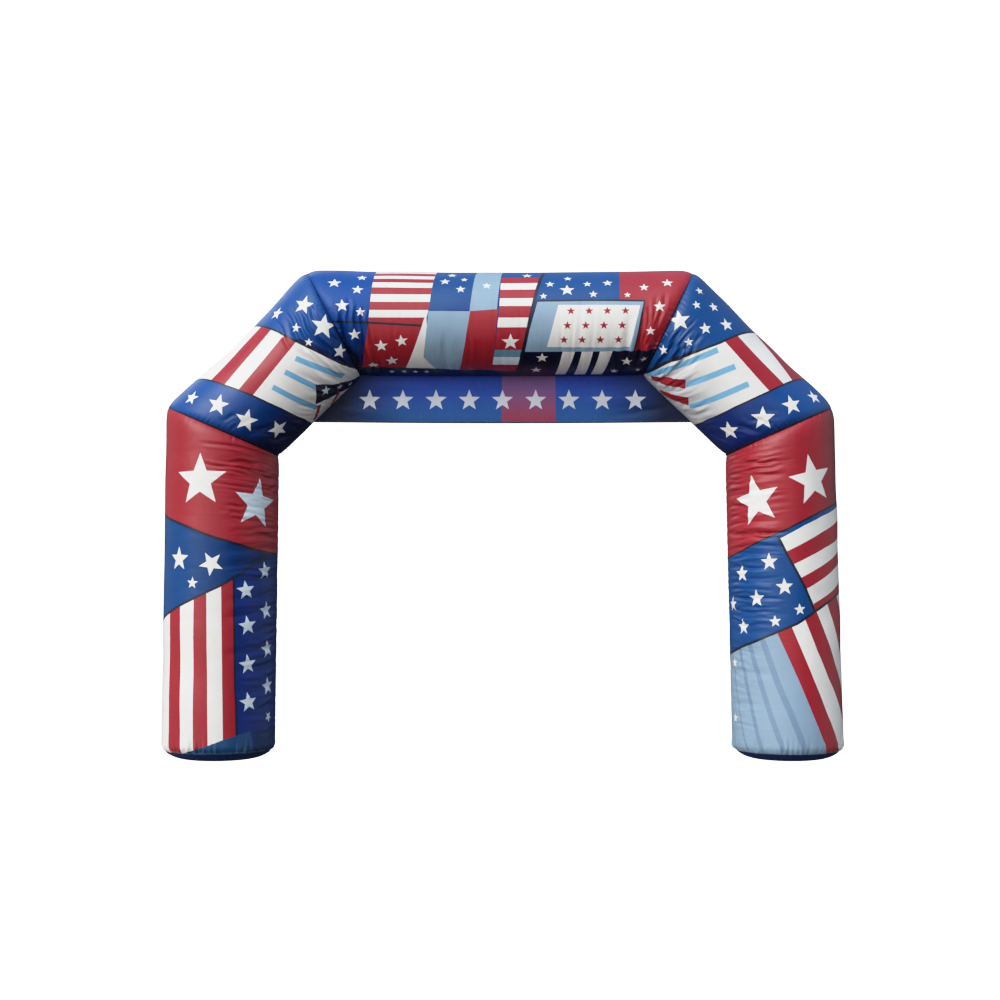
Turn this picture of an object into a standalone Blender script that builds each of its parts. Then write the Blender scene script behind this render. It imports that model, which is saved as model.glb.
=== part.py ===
"""Inflatable arch: five blown-up tube sections joined at mitre seams, two base caps and a banner.

Metres, +Z up. The arch spans along X, its depth is along Y, and the front faces -Y. The origin is
on the floor, midway between the legs.

Each tube section is ruled between two seam ellipses, which lie in the mitre planes. A point on the
cloth is named by two lengths on it:
  along   distance along the section's axis: height above the floor on a leg, distance from the
          elbow seam on a slope, and X on the beam
  round   distance round the tube from its front line: minus towards the outer side of the arch,
          plus towards the passage and on round the back
"""

import bmesh
import bpy
from math import cos, exp, hypot, pi, radians, sin, sqrt
from mathutils import Vector

# ---------------------------------------------------------------- driving dimensions (metres)
SPAN = 6.10              # overall width over the legs
TUBE_RADIUS = 0.50       # leg tube, blown up
SEWN_GAP = 0.0003        # between two pieces that are sewn together
SEAM_DRAW_IN = 0.016     # how far a mitre seam pulls the cloth in
SEAM_REACH = 0.055       # length over which that dies away
FOLD_TAPER = 0.7         # how bluntly a fold begins and ends
RIDGE_SHARE = 0.9        # how strongly its sides stand up as ridges
FOOT_ROUND_UP = 0.15     # how high the rounded lower edge of a leg reaches
FOOT_ROUND_IN = 0.24     # how far it draws in down to the flat underside
BASE_SEAM_HEIGHT = 0.075  # where the leg's cloth ends and the base cap begins
FOOT_STEPS = 3           # rings in the rounding above the base seam
BASE_STEPS = 6           # rings in the rounding below it
BEAM_SAG = 0.005         # the beam's middle hangs this much lower than its ends

BANNER_THICK = 0.0024    # coated sheet
HEM_THICK = 0.0038       # folded double at the lower edge
HEM_HEIGHT = 0.035
BANNER_LOW_EDGE = 3.016  # height of the lower edge above the floor, at its ends
BANNER_SAG = 0.010       # its middle hangs this much lower
BANNER_GAP = 0.0004      # to the beam, and to the slopes along each axis
SIDE_HOLD = 0.08         # share of its width over which each sewn end holds it flat
TOP_HOLD = 0.20          # share of its height over which the sewn top does

OUTER_SIDES = 12         # facets round the outer half of a tube
INNER_SIDES = 22         # facets round the half that faces the passage, where the folds are
SHARP_ANGLE = radians(40)

# ---------------------------------------------------------------- seams
# Each seam is an ellipse: its outer point, its inner point (towards the passage) and half its
# depth in Y. The ankle is the level ring where the leg's rounded foot begins.
#                  outer x   outer z  inner x  inner z  half depth
SEAMS = {
    "ankle_left":  (-SPAN / 2, FOOT_ROUND_UP, -2.042, FOOT_ROUND_UP, TUBE_RADIUS),
    "elbow_left":  (-3.028, 3.150, -2.016, 2.716, TUBE_RADIUS),
    "crown_left":  (-1.772, 4.388, -1.274, 3.436, 0.485),
    "crown_right": (1.728, 4.388, 1.264, 3.440, 0.485),
    "elbow_right": (2.986, 3.150, 2.012, 2.722, TUBE_RADIUS),
    "ankle_right": (SPAN / 2, FOOT_ROUND_UP, 2.062, FOOT_ROUND_UP, TUBE_RADIUS),
}

# section: (first seam, last seam, "along" at the first seam's centre, rings, waist)
# waist is how far the middle of the outer side falls inside the straight line between its ends
SECTIONS = {
    "leg_left":    ("ankle_left", "elbow_left", FOOT_ROUND_UP, 36, 0.0),
    "leg_right":   ("ankle_right", "elbow_right", FOOT_ROUND_UP, 36, 0.0),
    "slope_left":  ("elbow_left", "crown_left", 0.0, 18, 0.042),
    "slope_right": ("elbow_right", "crown_right", 0.0, 18, 0.014),
    "top_beam":    ("crown_left", "crown_right", -1.523, 36, 0.014),
}

# ---------------------------------------------------------------- folds
# A fold is a trough with a soft ridge on either side, along a straight line on the unrolled cloth.
# columns: along and round at its start, along and round at its end, depth, width
LEG_LEFT_FOLDS = [
    (2.66, 0.02, 2.61, 0.58, 0.016, 0.042),
    (2.53, 0.15, 2.47, 0.86, 0.022, 0.046),
    (2.40, 0.30, 2.36, 0.92, 0.018, 0.048),
    (2.25, 0.22, 2.24, 0.78, 0.014, 0.050),
    (2.13, 0.05, 2.10, 0.76, 0.013, 0.046),
    (2.00, 0.25, 1.97, 0.90, 0.018, 0.048),
    (1.86, 0.05, 1.89, 0.80, 0.016, 0.046),
    (1.72, 0.00, 1.76, 0.70, 0.012, 0.048),
    (1.58, 0.20, 1.63, 0.88, 0.020, 0.050),
    (1.42, 0.10, 1.47, 0.76, 0.012, 0.050),
    (1.27, 0.10, 1.37, 0.84, 0.022, 0.052),
    (1.12, 0.25, 1.20, 0.86, 0.014, 0.050),
    (0.95, 0.10, 1.03, 0.80, 0.016, 0.050),
    (0.79, 0.20, 0.88, 0.88, 0.020, 0.052),
    (0.62, 0.20, 0.68, 0.78, 0.012, 0.050),
    (0.42, 0.25, 0.49, 0.82, 0.012, 0.050),
]
LEG_RIGHT_FOLDS = [
    (2.64, -0.05, 2.58, 0.62, 0.020, 0.044),
    (2.53, 0.02, 2.47, 0.76, 0.022, 0.046),
    (2.41, 0.18, 2.34, 0.90, 0.022, 0.046),
    (2.28, 0.00, 2.20, 0.78, 0.014, 0.048),
    (2.14, 0.05, 2.10, 0.82, 0.014, 0.048),
    (2.00, 0.00, 1.97, 0.70, 0.014, 0.046),
    (1.87, 0.05, 1.84, 0.86, 0.020, 0.048),
    (1.74, 0.18, 1.70, 0.88, 0.014, 0.048),
    (1.60, 0.10, 1.60, 0.78, 0.014, 0.050),
    (1.46, 0.20, 1.44, 0.88, 0.016, 0.050),
    (1.30, 0.05, 1.31, 0.74, 0.012, 0.050),
    (1.15, 0.20, 1.17, 0.86, 0.016, 0.050),
    (0.98, 0.25, 0.95, 0.82, 0.012, 0.052),
    (0.78, 0.20, 0.80, 0.88, 0.014, 0.052),
    (0.52, 0.30, 0.50, 0.80, 0.010, 0.052),
]
SLOPE_LEFT_FOLDS = [
    (1.20, 0.74, 1.17, -0.05, 0.016, 0.046),
    (1.13, 0.76, 1.00, 0.02, 0.022, 0.046),
    (1.05, 0.74, 0.84, 0.14, 0.018, 0.048),
    (0.95, 0.78, 0.70, 0.36, 0.014, 0.048),
    (0.46, 0.66, 0.26, 0.44, 0.016, 0.042),
    (0.42, 0.40, 0.14, 0.22, 0.018, 0.044),
    (0.36, 0.12, 0.06, 0.00, 0.010, 0.044),
    (0.62, 0.92, 0.55, 0.55, 0.010, 0.050),
]
SLOPE_RIGHT_FOLDS = [
    (1.20, 0.74, 1.15, 0.05, 0.020, 0.044),
    (1.12, 0.76, 0.98, 0.08, 0.026, 0.046),
    (1.03, 0.74, 0.82, 0.16, 0.022, 0.048),
    (0.92, 0.78, 0.66, 0.30, 0.018, 0.048),
    (0.78, 0.80, 0.52, 0.42, 0.014, 0.048),
    (0.46, 0.62, 0.24, 0.46, 0.018, 0.042),
    (0.40, 0.36, 0.12, 0.20, 0.020, 0.044),
    (0.34, 0.08, 0.06, -0.06, 0.010, 0.044),
]
TOP_BEAM_FOLDS = [
    (-1.20, 0.76, -1.44, 0.02, 0.018, 0.046),
    (-1.12, 0.76, -1.30, -0.06, 0.022, 0.046),
    (-1.03, 0.78, -1.12, 0.20, 0.014, 0.048),
    (-0.90, 0.90, -0.94, 0.40, 0.010, 0.050),
    (-0.52, 0.80, -0.50, 0.10, 0.008, 0.052),
    (-0.18, 0.85, -0.22, 0.22, 0.008, 0.052),
    (0.20, 0.82, 0.24, 0.34, 0.008, 0.052),
    (0.60, 0.86, 0.58, 0.38, 0.008, 0.052),
    (0.94, 0.80, 0.98, 0.24, 0.014, 0.048),
    (1.04, 0.78, 1.12, -0.02, 0.022, 0.046),
    (1.12, 0.76, 1.26, -0.08, 0.028, 0.046),
    (1.20, 0.76, 1.42, 0.04, 0.020, 0.046),
]
FOLDS = {
    "leg_left": LEG_LEFT_FOLDS,
    "leg_right": LEG_RIGHT_FOLDS,
    "slope_left": SLOPE_LEFT_FOLDS,
    "slope_right": SLOPE_RIGHT_FOLDS,
    "top_beam": TOP_BEAM_FOLDS,
}
BACK_SHIFT = 0.035       # the back has the same folds, this much further along

# folds of the banner, pulled by its side edges; columns: x and z at the start, x and z at the
# end, how far it stands out to the front (plus) or the back (minus), width
BANNER_FOLDS = [
    (-1.56, 3.14, -0.95, 3.07, 0.012, 0.040),
    (-1.46, 3.24, -0.80, 3.24, -0.010, 0.045),
    (-1.34, 3.36, -0.50, 3.33, 0.009, 0.040),
    (-0.30, 3.30, 0.30, 3.26, -0.006, 0.060),
    (1.55, 3.15, 0.85, 3.06, -0.014, 0.040),
    (1.44, 3.26, 0.70, 3.20, 0.012, 0.045),
    (1.33, 3.36, 0.60, 3.34, -0.008, 0.040),
]


# ---------------------------------------------------------------- the cloth's shape
def seam_ellipse(name):
    """Centre, half-axis towards the outer side and half-axis towards the front of a seam."""
    outer_x, outer_z, inner_x, inner_z, half_depth = SEAMS[name]
    centre = Vector(((outer_x + inner_x) / 2, 0, (outer_z + inner_z) / 2))
    to_outer = Vector(((outer_x - inner_x) / 2, 0, (outer_z - inner_z) / 2))
    to_front = Vector((0, -half_depth, 0))
    return centre, to_outer, to_front


def fold_height(folds, along, around):
    """Sum of the folds at a point of the unrolled cloth: minus is a trough, plus its ridges."""
    total = 0.0
    for start_along, start_round, end_along, end_round, depth, width in folds:
        step_along = end_along - start_along
        step_round = end_round - start_round
        length = hypot(step_along, step_round)
        off_along = along - start_along
        off_round = around - start_round
        share = (off_along * step_along + off_round * step_round) / length ** 2
        if 0 < share < 1:
            beside = (off_along * step_round - off_round * step_along) / length / width
            fade = sin(pi * share) ** FOLD_TAPER
            total -= depth * fade * (1 - RIDGE_SHARE * beside ** 2) * exp(-beside ** 2)
    return total


def cloth_point(section, share, angle):
    """A point on a section's cloth: share 0 to 1 between its seams, angle 0 outer, pi/2 front."""
    first, last, along_start, _, waist = SECTIONS[section]
    centre_a, outer_a, front_a = seam_ellipse(first)
    centre_b, outer_b, front_b = seam_ellipse(last)
    axis = (centre_b - centre_a).normalized()
    spoke_a = outer_a * cos(angle) + front_a * sin(angle)
    spoke_b = outer_b * cos(angle) + front_b * sin(angle)
    centre = centre_a.lerp(centre_b, share)
    spoke = spoke_a.lerp(spoke_b, share)

    along = along_start + (centre + spoke - centre_a).dot(axis)
    around = TUBE_RADIUS * (angle - pi / 2)
    round_the_back = TUBE_RADIUS * pi - around
    folds = FOLDS[section]
    height = fold_height(folds, along, around)
    height += fold_height(folds, along - BACK_SHIFT, round_the_back)

    ruling = (centre_b + spoke_b - centre_a - spoke_a).length
    seam_distances = [(1 - share) * ruling]
    if section not in ("leg_left", "leg_right"):
        seam_distances.append(share * ruling)
    for distance in seam_distances:
        height *= 1 - exp(-(distance / SEAM_REACH) ** 2)
    for distance in seam_distances:
        height -= SEAM_DRAW_IN * exp(-distance / SEAM_REACH)
    height -= waist * sin(pi * share) ** 2 * max(0.0, cos(angle)) ** 2
    if section == "top_beam":
        centre = centre - Vector((0, 0, BEAM_SAG * sin(pi * share)))
    return centre + spoke + spoke.normalized() * height


def foot_inset(height):
    """How far the rounded foot lies inside the leg's side at a height above the floor."""
    below = max(0.0, 1 - height / FOOT_ROUND_UP)
    return FOOT_ROUND_IN * (1 - sqrt(1 - below ** 2))


def tube_angles():
    """Angles round a tube: coarse on the outer half, finer on the half with the folds."""
    outer = [-pi / 2 + pi * i / OUTER_SIDES for i in range(OUTER_SIDES)]
    inner = [pi / 2 + pi * i / INNER_SIDES for i in range(INNER_SIDES)]
    return outer + inner


def foot_ring(side, height):
    """Level ring of the rounded foot of the left or right leg at a height above the floor."""
    centre, to_outer, to_front = seam_ellipse("ankle_" + side)
    centre = Vector((centre.x, 0, height))
    points = []
    for angle in tube_angles():
        spoke = to_outer * cos(angle) + to_front * sin(angle)
        points.append(centre + spoke - spoke.normalized() * foot_inset(height))
    return points


# ---------------------------------------------------------------- making the meshes
def cloth_material(name, colour, roughness=0.42):
    material = bpy.data.materials.new(name)
    material.use_nodes = True
    shader = material.node_tree.nodes["Principled BSDF"]
    shader.inputs["Base Color"].default_value = (*colour, 1)
    shader.inputs["Roughness"].default_value = roughness
    shader.inputs["Metallic"].default_value = 0.0
    material.diffuse_color = (*colour, 1)
    return material


def add_object(name, mesh_data, material):
    """Turn a bmesh into a named, smooth-shaded object with its faces pointing out."""
    bmesh.ops.recalc_face_normals(mesh_data, faces=mesh_data.faces)
    mesh = bpy.data.meshes.new(name)
    mesh_data.to_mesh(mesh)
    mesh_data.free()
    mesh.materials.append(material)
    mesh.shade_smooth()
    mesh.set_sharp_from_angle(angle=SHARP_ANGLE)
    thing = bpy.data.objects.new(name, mesh)
    bpy.context.scene.collection.objects.link(thing)
    return thing


def skin_rings(rings):
    """A closed solid through a stack of rings that all have the same number of points."""
    mesh_data = bmesh.new()
    rows = [[mesh_data.verts.new(point) for point in ring] for ring in rings]
    count = len(rows[0])
    for low, high in zip(rows, rows[1:]):
        for i in range(count):
            j = (i + 1) % count
            mesh_data.faces.new((low[i], low[j], high[j], high[i]))
    mesh_data.faces.new(rows[0])
    mesh_data.faces.new(rows[-1])
    return mesh_data


def skin_sheet(front, back):
    """A closed sheet between two equal grids of points."""
    mesh_data = bmesh.new()
    faces = [[[mesh_data.verts.new(point) for point in row] for row in grid] for grid in (front, back)]
    for grid in faces:
        for upper, lower in zip(grid, grid[1:]):
            for i in range(len(upper) - 1):
                mesh_data.faces.new((upper[i], upper[i + 1], lower[i + 1], lower[i]))
    rims = []
    for grid in faces:
        right_end = [row[-1] for row in grid[1:]]
        left_end = [row[0] for row in grid[1:-1]]
        rims.append(grid[0] + right_end + grid[-1][-2::-1] + left_end[::-1])
    count = len(rims[0])
    for i in range(count):
        j = (i + 1) % count
        mesh_data.faces.new((rims[0][i], rims[0][j], rims[1][j], rims[1][i]))
    return mesh_data


# ---------------------------------------------------------------- the pieces
def tube_rings(section):
    """Rings of a tube section, its sewn end rings pulled back by half the gap."""
    first, last, _, ring_count, _ = SECTIONS[section]
    axis = (seam_ellipse(last)[0] - seam_ellipse(first)[0]).normalized()
    rings = []
    for k in range(ring_count + 1):
        rings.append([cloth_point(section, k / ring_count, angle) for angle in tube_angles()])
    rings[-1] = [point - axis * SEWN_GAP / 2 for point in rings[-1]]
    if not section.startswith("leg"):
        rings[0] = [point + axis * SEWN_GAP / 2 for point in rings[0]]
    return rings


def build_leg(side, material):
    """A leg's tube, with the upper part of its rounded foot below it."""
    step = (FOOT_ROUND_UP - BASE_SEAM_HEIGHT) / FOOT_STEPS
    rings = [foot_ring(side, BASE_SEAM_HEIGHT + step * i) for i in range(FOOT_STEPS)]
    return add_object("leg_" + side, skin_rings(rings + tube_rings("leg_" + side)), material)


def build_base(side, material):
    """The base cap: the lower part of the rounding, down to a flat underside on the floor."""
    top = BASE_SEAM_HEIGHT - SEWN_GAP
    heights = [top * (i / BASE_STEPS) ** 2 for i in range(BASE_STEPS + 1)]
    return add_object("base_" + side, skin_rings([foot_ring(side, h) for h in heights]), material)


def inner_line(section):
    """Points of a section's cloth along the middle of the side that faces the passage."""
    ring_count = SECTIONS[section][3]
    return [cloth_point(section, k / ring_count, pi) for k in range(ring_count + 1)]


def banner_end(section, inward):
    """One end of the banner from the crown down, just clear of the slope that it is sewn to."""
    line = inner_line(section)
    above = [point for point in line if point.z > BANNER_LOW_EDGE]
    below = line[-len(above) - 1]
    share = (BANNER_LOW_EDGE - below.z) / (above[0].z - below.z)
    line = above[::-1] + [below.lerp(above[0], share)]
    return [point + Vector((inward * BANNER_GAP, 0, -BANNER_GAP)) for point in line]


def banner_fold(x, z):
    """How far the banner's folds stand out of its plane at a point."""
    total = 0.0
    for start_x, start_z, end_x, end_z, depth, width in BANNER_FOLDS:
        step_x, step_z = end_x - start_x, end_z - start_z
        length = hypot(step_x, step_z)
        share = ((x - start_x) * step_x + (z - start_z) * step_z) / length ** 2
        if 0 < share < 1:
            beside = ((x - start_x) * step_z - (z - start_z) * step_x) / length
            total += depth * sin(pi * share) * exp(-(beside / width) ** 2)
    return total


def build_banner(material):
    """The hung sheet: its top follows the beam's underside and its ends follow the slopes."""
    top = [point - Vector((0, 0, BANNER_GAP)) for point in inner_line("top_beam")]
    left = banner_end("slope_left", 1)
    right = banner_end("slope_right", -1)
    last_row = min(len(left), len(right)) - 1
    last_column = len(top) - 1
    front, back = [], []
    for k in range(last_row + 1):
        down = k / last_row
        front.append([])
        back.append([])
        for i in range(last_column + 1):
            across = i / last_column
            if k == 0:
                place = top[i]
            else:
                place = left[k].lerp(right[k], across)
                straight_top = top[0].lerp(top[-1], across)
                place = place + (top[i] - straight_top) * (1 - down)
                place.z -= BANNER_SAG * sin(pi * across) * down
            hold = min(1, across / SIDE_HOLD, (1 - across) / SIDE_HOLD, down / TOP_HOLD)
            fold = banner_fold(place.x, place.z) * hold
            thick = HEM_THICK if place.z < BANNER_LOW_EDGE + HEM_HEIGHT else BANNER_THICK
            front[-1].append(place + Vector((0, -fold - thick / 2, 0)))
            back[-1].append(place + Vector((0, -fold + thick / 2, 0)))
    return add_object("banner", skin_sheet(front, back), material)


def build_arch():
    for thing in list(bpy.data.objects):
        bpy.data.objects.remove(thing, do_unlink=True)
    red = cloth_material("red coated polyester", (0.42, 0.03, 0.045))
    blue = cloth_material("blue coated polyester", (0.03, 0.09, 0.36))
    white = cloth_material("white coated polyester", (0.80, 0.79, 0.77))
    navy = cloth_material("navy coated polyester", (0.012, 0.02, 0.07), 0.5)
    for side in ("left", "right"):
        build_leg(side, red)
        build_base(side, navy)
        slope = "slope_" + side
        add_object(slope, skin_rings(tube_rings(slope)), white)
    add_object("top_beam", skin_rings(tube_rings("top_beam")), blue)
    build_banner(blue)


build_arch()
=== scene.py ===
# %% [markdown]
# # An inflatable arch in printed cloth
#
# The real object is a gateway for races and fairs: five tubes of coated polyester, sewn together at
# slanting seams and blown up with air. Each tube is printed with a patchwork of stars and stripes.
# Two navy base caps stand on the ground, and a flat banner hangs under the beam.
#
# The imported model holds the true sizes and the main folds. Here each solid gets a finer skin in the
# same place, with the small creases, the print, the seams and the thread. We begin by loading the
# imported model.

# %% Load the imported arch
import random
from math import cos, hypot, pi, radians, sin

import bpy
import numpy as np
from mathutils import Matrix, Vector
from mathutils.geometry import delaunay_2d_cdt
from mathutils.kdtree import KDTree


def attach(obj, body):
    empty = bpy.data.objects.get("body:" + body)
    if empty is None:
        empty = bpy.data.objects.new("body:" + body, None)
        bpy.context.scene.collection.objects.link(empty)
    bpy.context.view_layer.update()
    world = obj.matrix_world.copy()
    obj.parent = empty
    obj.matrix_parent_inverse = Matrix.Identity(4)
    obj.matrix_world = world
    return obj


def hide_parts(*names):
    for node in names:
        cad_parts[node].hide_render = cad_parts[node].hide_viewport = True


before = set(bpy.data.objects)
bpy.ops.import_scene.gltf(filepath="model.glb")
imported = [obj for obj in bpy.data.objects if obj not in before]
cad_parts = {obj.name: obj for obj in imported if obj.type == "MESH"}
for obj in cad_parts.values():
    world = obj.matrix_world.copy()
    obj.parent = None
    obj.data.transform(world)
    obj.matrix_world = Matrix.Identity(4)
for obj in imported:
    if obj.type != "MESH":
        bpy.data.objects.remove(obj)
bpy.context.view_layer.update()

print("packed nodes:", ", ".join(sorted(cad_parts)))

# %% [markdown]
# ## The camera
#
# The picture was taken from the front, at about head height, with a slightly long lens. The camera
# stands 16 m away and looks up by about two degrees, so the underside of the beam just shows and the
# two upright legs stay nearly parallel.

# %% Camera
CAMERA_PLACE = (-0.0225, -16.0, 1.7)
LOOKS_UP = 2.2           # degrees
FOCAL_LENGTH = 63.94     # millimetres, over a sensor 36 mm wide

camera_data = bpy.data.cameras.new("camera")
camera_data.sensor_width = 36.0
camera_data.lens = FOCAL_LENGTH
camera = bpy.data.objects.new("camera", camera_data)
camera.location = CAMERA_PLACE
camera.rotation_euler = (radians(90 + LOOKS_UP), 0, 0)
bpy.context.scene.collection.objects.link(camera)
bpy.context.scene.camera = camera
print("camera:", tuple(camera.location))

# %% [markdown]
# ## The tubes, unrolled
#
# A blown-up tube of cloth can be unrolled into a flat sheet. We name each point on that sheet by
# two lengths. `along` runs up a leg, up a slope, or from left to right on the beam. `around` runs
# round the tube from its front line, minus towards the outer side of the arch and plus towards the
# passage and on round the back. Everything that follows, folds, print and stitches, is given in
# these two lengths, as a sailmaker would mark it on the cloth before sewing.
#
# Each section is ruled between two seam ellipses that lie in the mitre planes.

# %% Seams and sections
TUBE_RADIUS = 0.50
QUARTER = TUBE_RADIUS * pi / 2       # round the cloth from the front line to the inner line
HALF_TURN = TUBE_RADIUS * pi
#                outer x  outer z  inner x  inner z  half depth
SEAMS = {
    "ankle_left":  (-3.050, 0.150, -2.042, 0.150, 0.500),
    "elbow_left":  (-3.028, 3.150, -2.016, 2.716, 0.500),
    "crown_left":  (-1.772, 4.388, -1.274, 3.436, 0.485),
    "crown_right": (1.728, 4.388, 1.264, 3.440, 0.485),
    "elbow_right": (2.986, 3.150, 2.012, 2.722, 0.500),
    "ankle_right": (3.050, 0.150, 2.062, 0.150, 0.500),
}
# first seam, last seam, "along" at the first seam's centre, how far the outer side is drawn in
SECTIONS = {
    "leg_left":    ("ankle_left", "elbow_left", 0.15, 0.0),
    "leg_right":   ("ankle_right", "elbow_right", 0.15, 0.0),
    "slope_left":  ("elbow_left", "crown_left", 0.0, 0.042),
    "slope_right": ("elbow_right", "crown_right", 0.0, 0.014),
    "top_beam":    ("crown_left", "crown_right", -1.523, 0.014),
}


def seam_ellipse(name):
    """Centre of a seam, and its half-axes towards the outer side and the front."""
    outer_x, outer_z, inner_x, inner_z, half_depth = SEAMS[name]
    centre = np.array([(outer_x + inner_x) / 2, 0, (outer_z + inner_z) / 2])
    to_outer = np.array([(outer_x - inner_x) / 2, 0, (outer_z - inner_z) / 2])
    return centre, to_outer, np.array([0, -half_depth, 0])


def tube_axis(section):
    first, last = SECTIONS[section][:2]
    axis = seam_ellipse(last)[0] - seam_ellipse(first)[0]
    return axis / np.linalg.norm(axis)


def ruling(section, around):
    """Both ends of the straight line along a tube at each `around`, and their `along`."""
    first, last, along_start, _ = SECTIONS[section]
    centre_a, outer_a, front_a = seam_ellipse(first)
    centre_b, outer_b, front_b = seam_ellipse(last)
    angle = np.asarray(around) / TUBE_RADIUS + pi / 2
    across, forward = np.cos(angle)[:, None], np.sin(angle)[:, None]
    start = centre_a + outer_a * across + front_a * forward
    end = centre_b + outer_b * across + front_b * forward
    axis = tube_axis(section)
    return start, end, along_start + (start - centre_a) @ axis, along_start + (end - centre_a) @ axis


for section in SECTIONS:
    _, _, low, high = ruling(section, [-QUARTER, QUARTER])
    print(f"{section}: outer side {high[0] - low[0]:.2f} m, inner side {high[1] - low[1]:.2f} m")

# %% [markdown]
# ## Main folds
#
# Where a tube turns a corner, its inner side has too much cloth, and the spare length goes into
# folds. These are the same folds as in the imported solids, so the fine skin lies on them: each is
# a trough with a soft ridge on either side, along a straight line on the unrolled cloth. The back
# of each tube has the same folds as its front, a little further along.

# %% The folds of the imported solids
# along and around at the start, along and around at the end, depth, width
FOLDS = {
    "leg_left": [
        (2.66, 0.02, 2.61, 0.58, 0.016, 0.042), (2.53, 0.15, 2.47, 0.86, 0.022, 0.046),
        (2.40, 0.30, 2.36, 0.92, 0.018, 0.048), (2.25, 0.22, 2.24, 0.78, 0.014, 0.050),
        (2.13, 0.05, 2.10, 0.76, 0.013, 0.046), (2.00, 0.25, 1.97, 0.90, 0.018, 0.048),
        (1.86, 0.05, 1.89, 0.80, 0.016, 0.046), (1.72, 0.00, 1.76, 0.70, 0.012, 0.048),
        (1.58, 0.20, 1.63, 0.88, 0.020, 0.050), (1.42, 0.10, 1.47, 0.76, 0.012, 0.050),
        (1.27, 0.10, 1.37, 0.84, 0.022, 0.052), (1.12, 0.25, 1.20, 0.86, 0.014, 0.050),
        (0.95, 0.10, 1.03, 0.80, 0.016, 0.050), (0.79, 0.20, 0.88, 0.88, 0.020, 0.052),
        (0.62, 0.20, 0.68, 0.78, 0.012, 0.050), (0.42, 0.25, 0.49, 0.82, 0.012, 0.050),
    ],
    "leg_right": [
        (2.64, -0.05, 2.58, 0.62, 0.020, 0.044), (2.53, 0.02, 2.47, 0.76, 0.022, 0.046),
        (2.41, 0.18, 2.34, 0.90, 0.022, 0.046), (2.28, 0.00, 2.20, 0.78, 0.014, 0.048),
        (2.14, 0.05, 2.10, 0.82, 0.014, 0.048), (2.00, 0.00, 1.97, 0.70, 0.014, 0.046),
        (1.87, 0.05, 1.84, 0.86, 0.020, 0.048), (1.74, 0.18, 1.70, 0.88, 0.014, 0.048),
        (1.60, 0.10, 1.60, 0.78, 0.014, 0.050), (1.46, 0.20, 1.44, 0.88, 0.016, 0.050),
        (1.30, 0.05, 1.31, 0.74, 0.012, 0.050), (1.15, 0.20, 1.17, 0.86, 0.016, 0.050),
        (0.98, 0.25, 0.95, 0.82, 0.012, 0.052), (0.78, 0.20, 0.80, 0.88, 0.014, 0.052),
        (0.52, 0.30, 0.50, 0.80, 0.010, 0.052),
    ],
    "slope_left": [
        (1.20, 0.74, 1.17, -0.05, 0.016, 0.046), (1.13, 0.76, 1.00, 0.02, 0.022, 0.046),
        (1.05, 0.74, 0.84, 0.14, 0.018, 0.048), (0.95, 0.78, 0.70, 0.36, 0.014, 0.048),
        (0.46, 0.66, 0.26, 0.44, 0.016, 0.042), (0.42, 0.40, 0.14, 0.22, 0.018, 0.044),
        (0.36, 0.12, 0.06, 0.00, 0.010, 0.044), (0.62, 0.92, 0.55, 0.55, 0.010, 0.050),
    ],
    "slope_right": [
        (1.20, 0.74, 1.15, 0.05, 0.020, 0.044), (1.12, 0.76, 0.98, 0.08, 0.026, 0.046),
        (1.03, 0.74, 0.82, 0.16, 0.022, 0.048), (0.92, 0.78, 0.66, 0.30, 0.018, 0.048),
        (0.78, 0.80, 0.52, 0.42, 0.014, 0.048), (0.46, 0.62, 0.24, 0.46, 0.018, 0.042),
        (0.40, 0.36, 0.12, 0.20, 0.020, 0.044), (0.34, 0.08, 0.06, -0.06, 0.010, 0.044),
    ],
    "top_beam": [
        (-1.20, 0.76, -1.44, 0.02, 0.018, 0.046), (-1.12, 0.76, -1.30, -0.06, 0.022, 0.046),
        (-1.03, 0.78, -1.12, 0.20, 0.014, 0.048), (-0.90, 0.90, -0.94, 0.40, 0.010, 0.050),
        (-0.52, 0.80, -0.50, 0.10, 0.008, 0.052), (-0.18, 0.85, -0.22, 0.22, 0.008, 0.052),
        (0.20, 0.82, 0.24, 0.34, 0.008, 0.052), (0.60, 0.86, 0.58, 0.38, 0.008, 0.052),
        (0.94, 0.80, 0.98, 0.24, 0.014, 0.048), (1.04, 0.78, 1.12, -0.02, 0.022, 0.046),
        (1.12, 0.76, 1.26, -0.08, 0.028, 0.046), (1.20, 0.76, 1.42, 0.04, 0.020, 0.046),
    ],
}
FOLD_TAPER = 0.7         # how bluntly a fold begins and ends
RIDGE_SHARE = 0.9        # how strongly its sides stand up as ridges
FOLD_REACH = 3.5         # how many widths beside its line a fold is felt
BACK_SHIFT = 0.035       # the back has the same folds, this much further along
print("main folds:", {name: len(folds) for name, folds in FOLDS.items()})


# %% Height of a fold
def beside_fold(along, around, fold):
    """Share along a fold, 0 to 1, and the distance beside it in fold widths, for each point."""
    start_along, start_around, end_along, end_around, _, width = fold[:6]
    step_along, step_around = end_along - start_along, end_around - start_around
    length = hypot(step_along, step_around)
    off_along = along - start_along
    off_around = (around - start_around + HALF_TURN) % (2 * HALF_TURN) - HALF_TURN
    share = (off_along * step_along + off_around * step_around) / length ** 2
    return share, (off_along * step_around - off_around * step_along) / length / width


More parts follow.
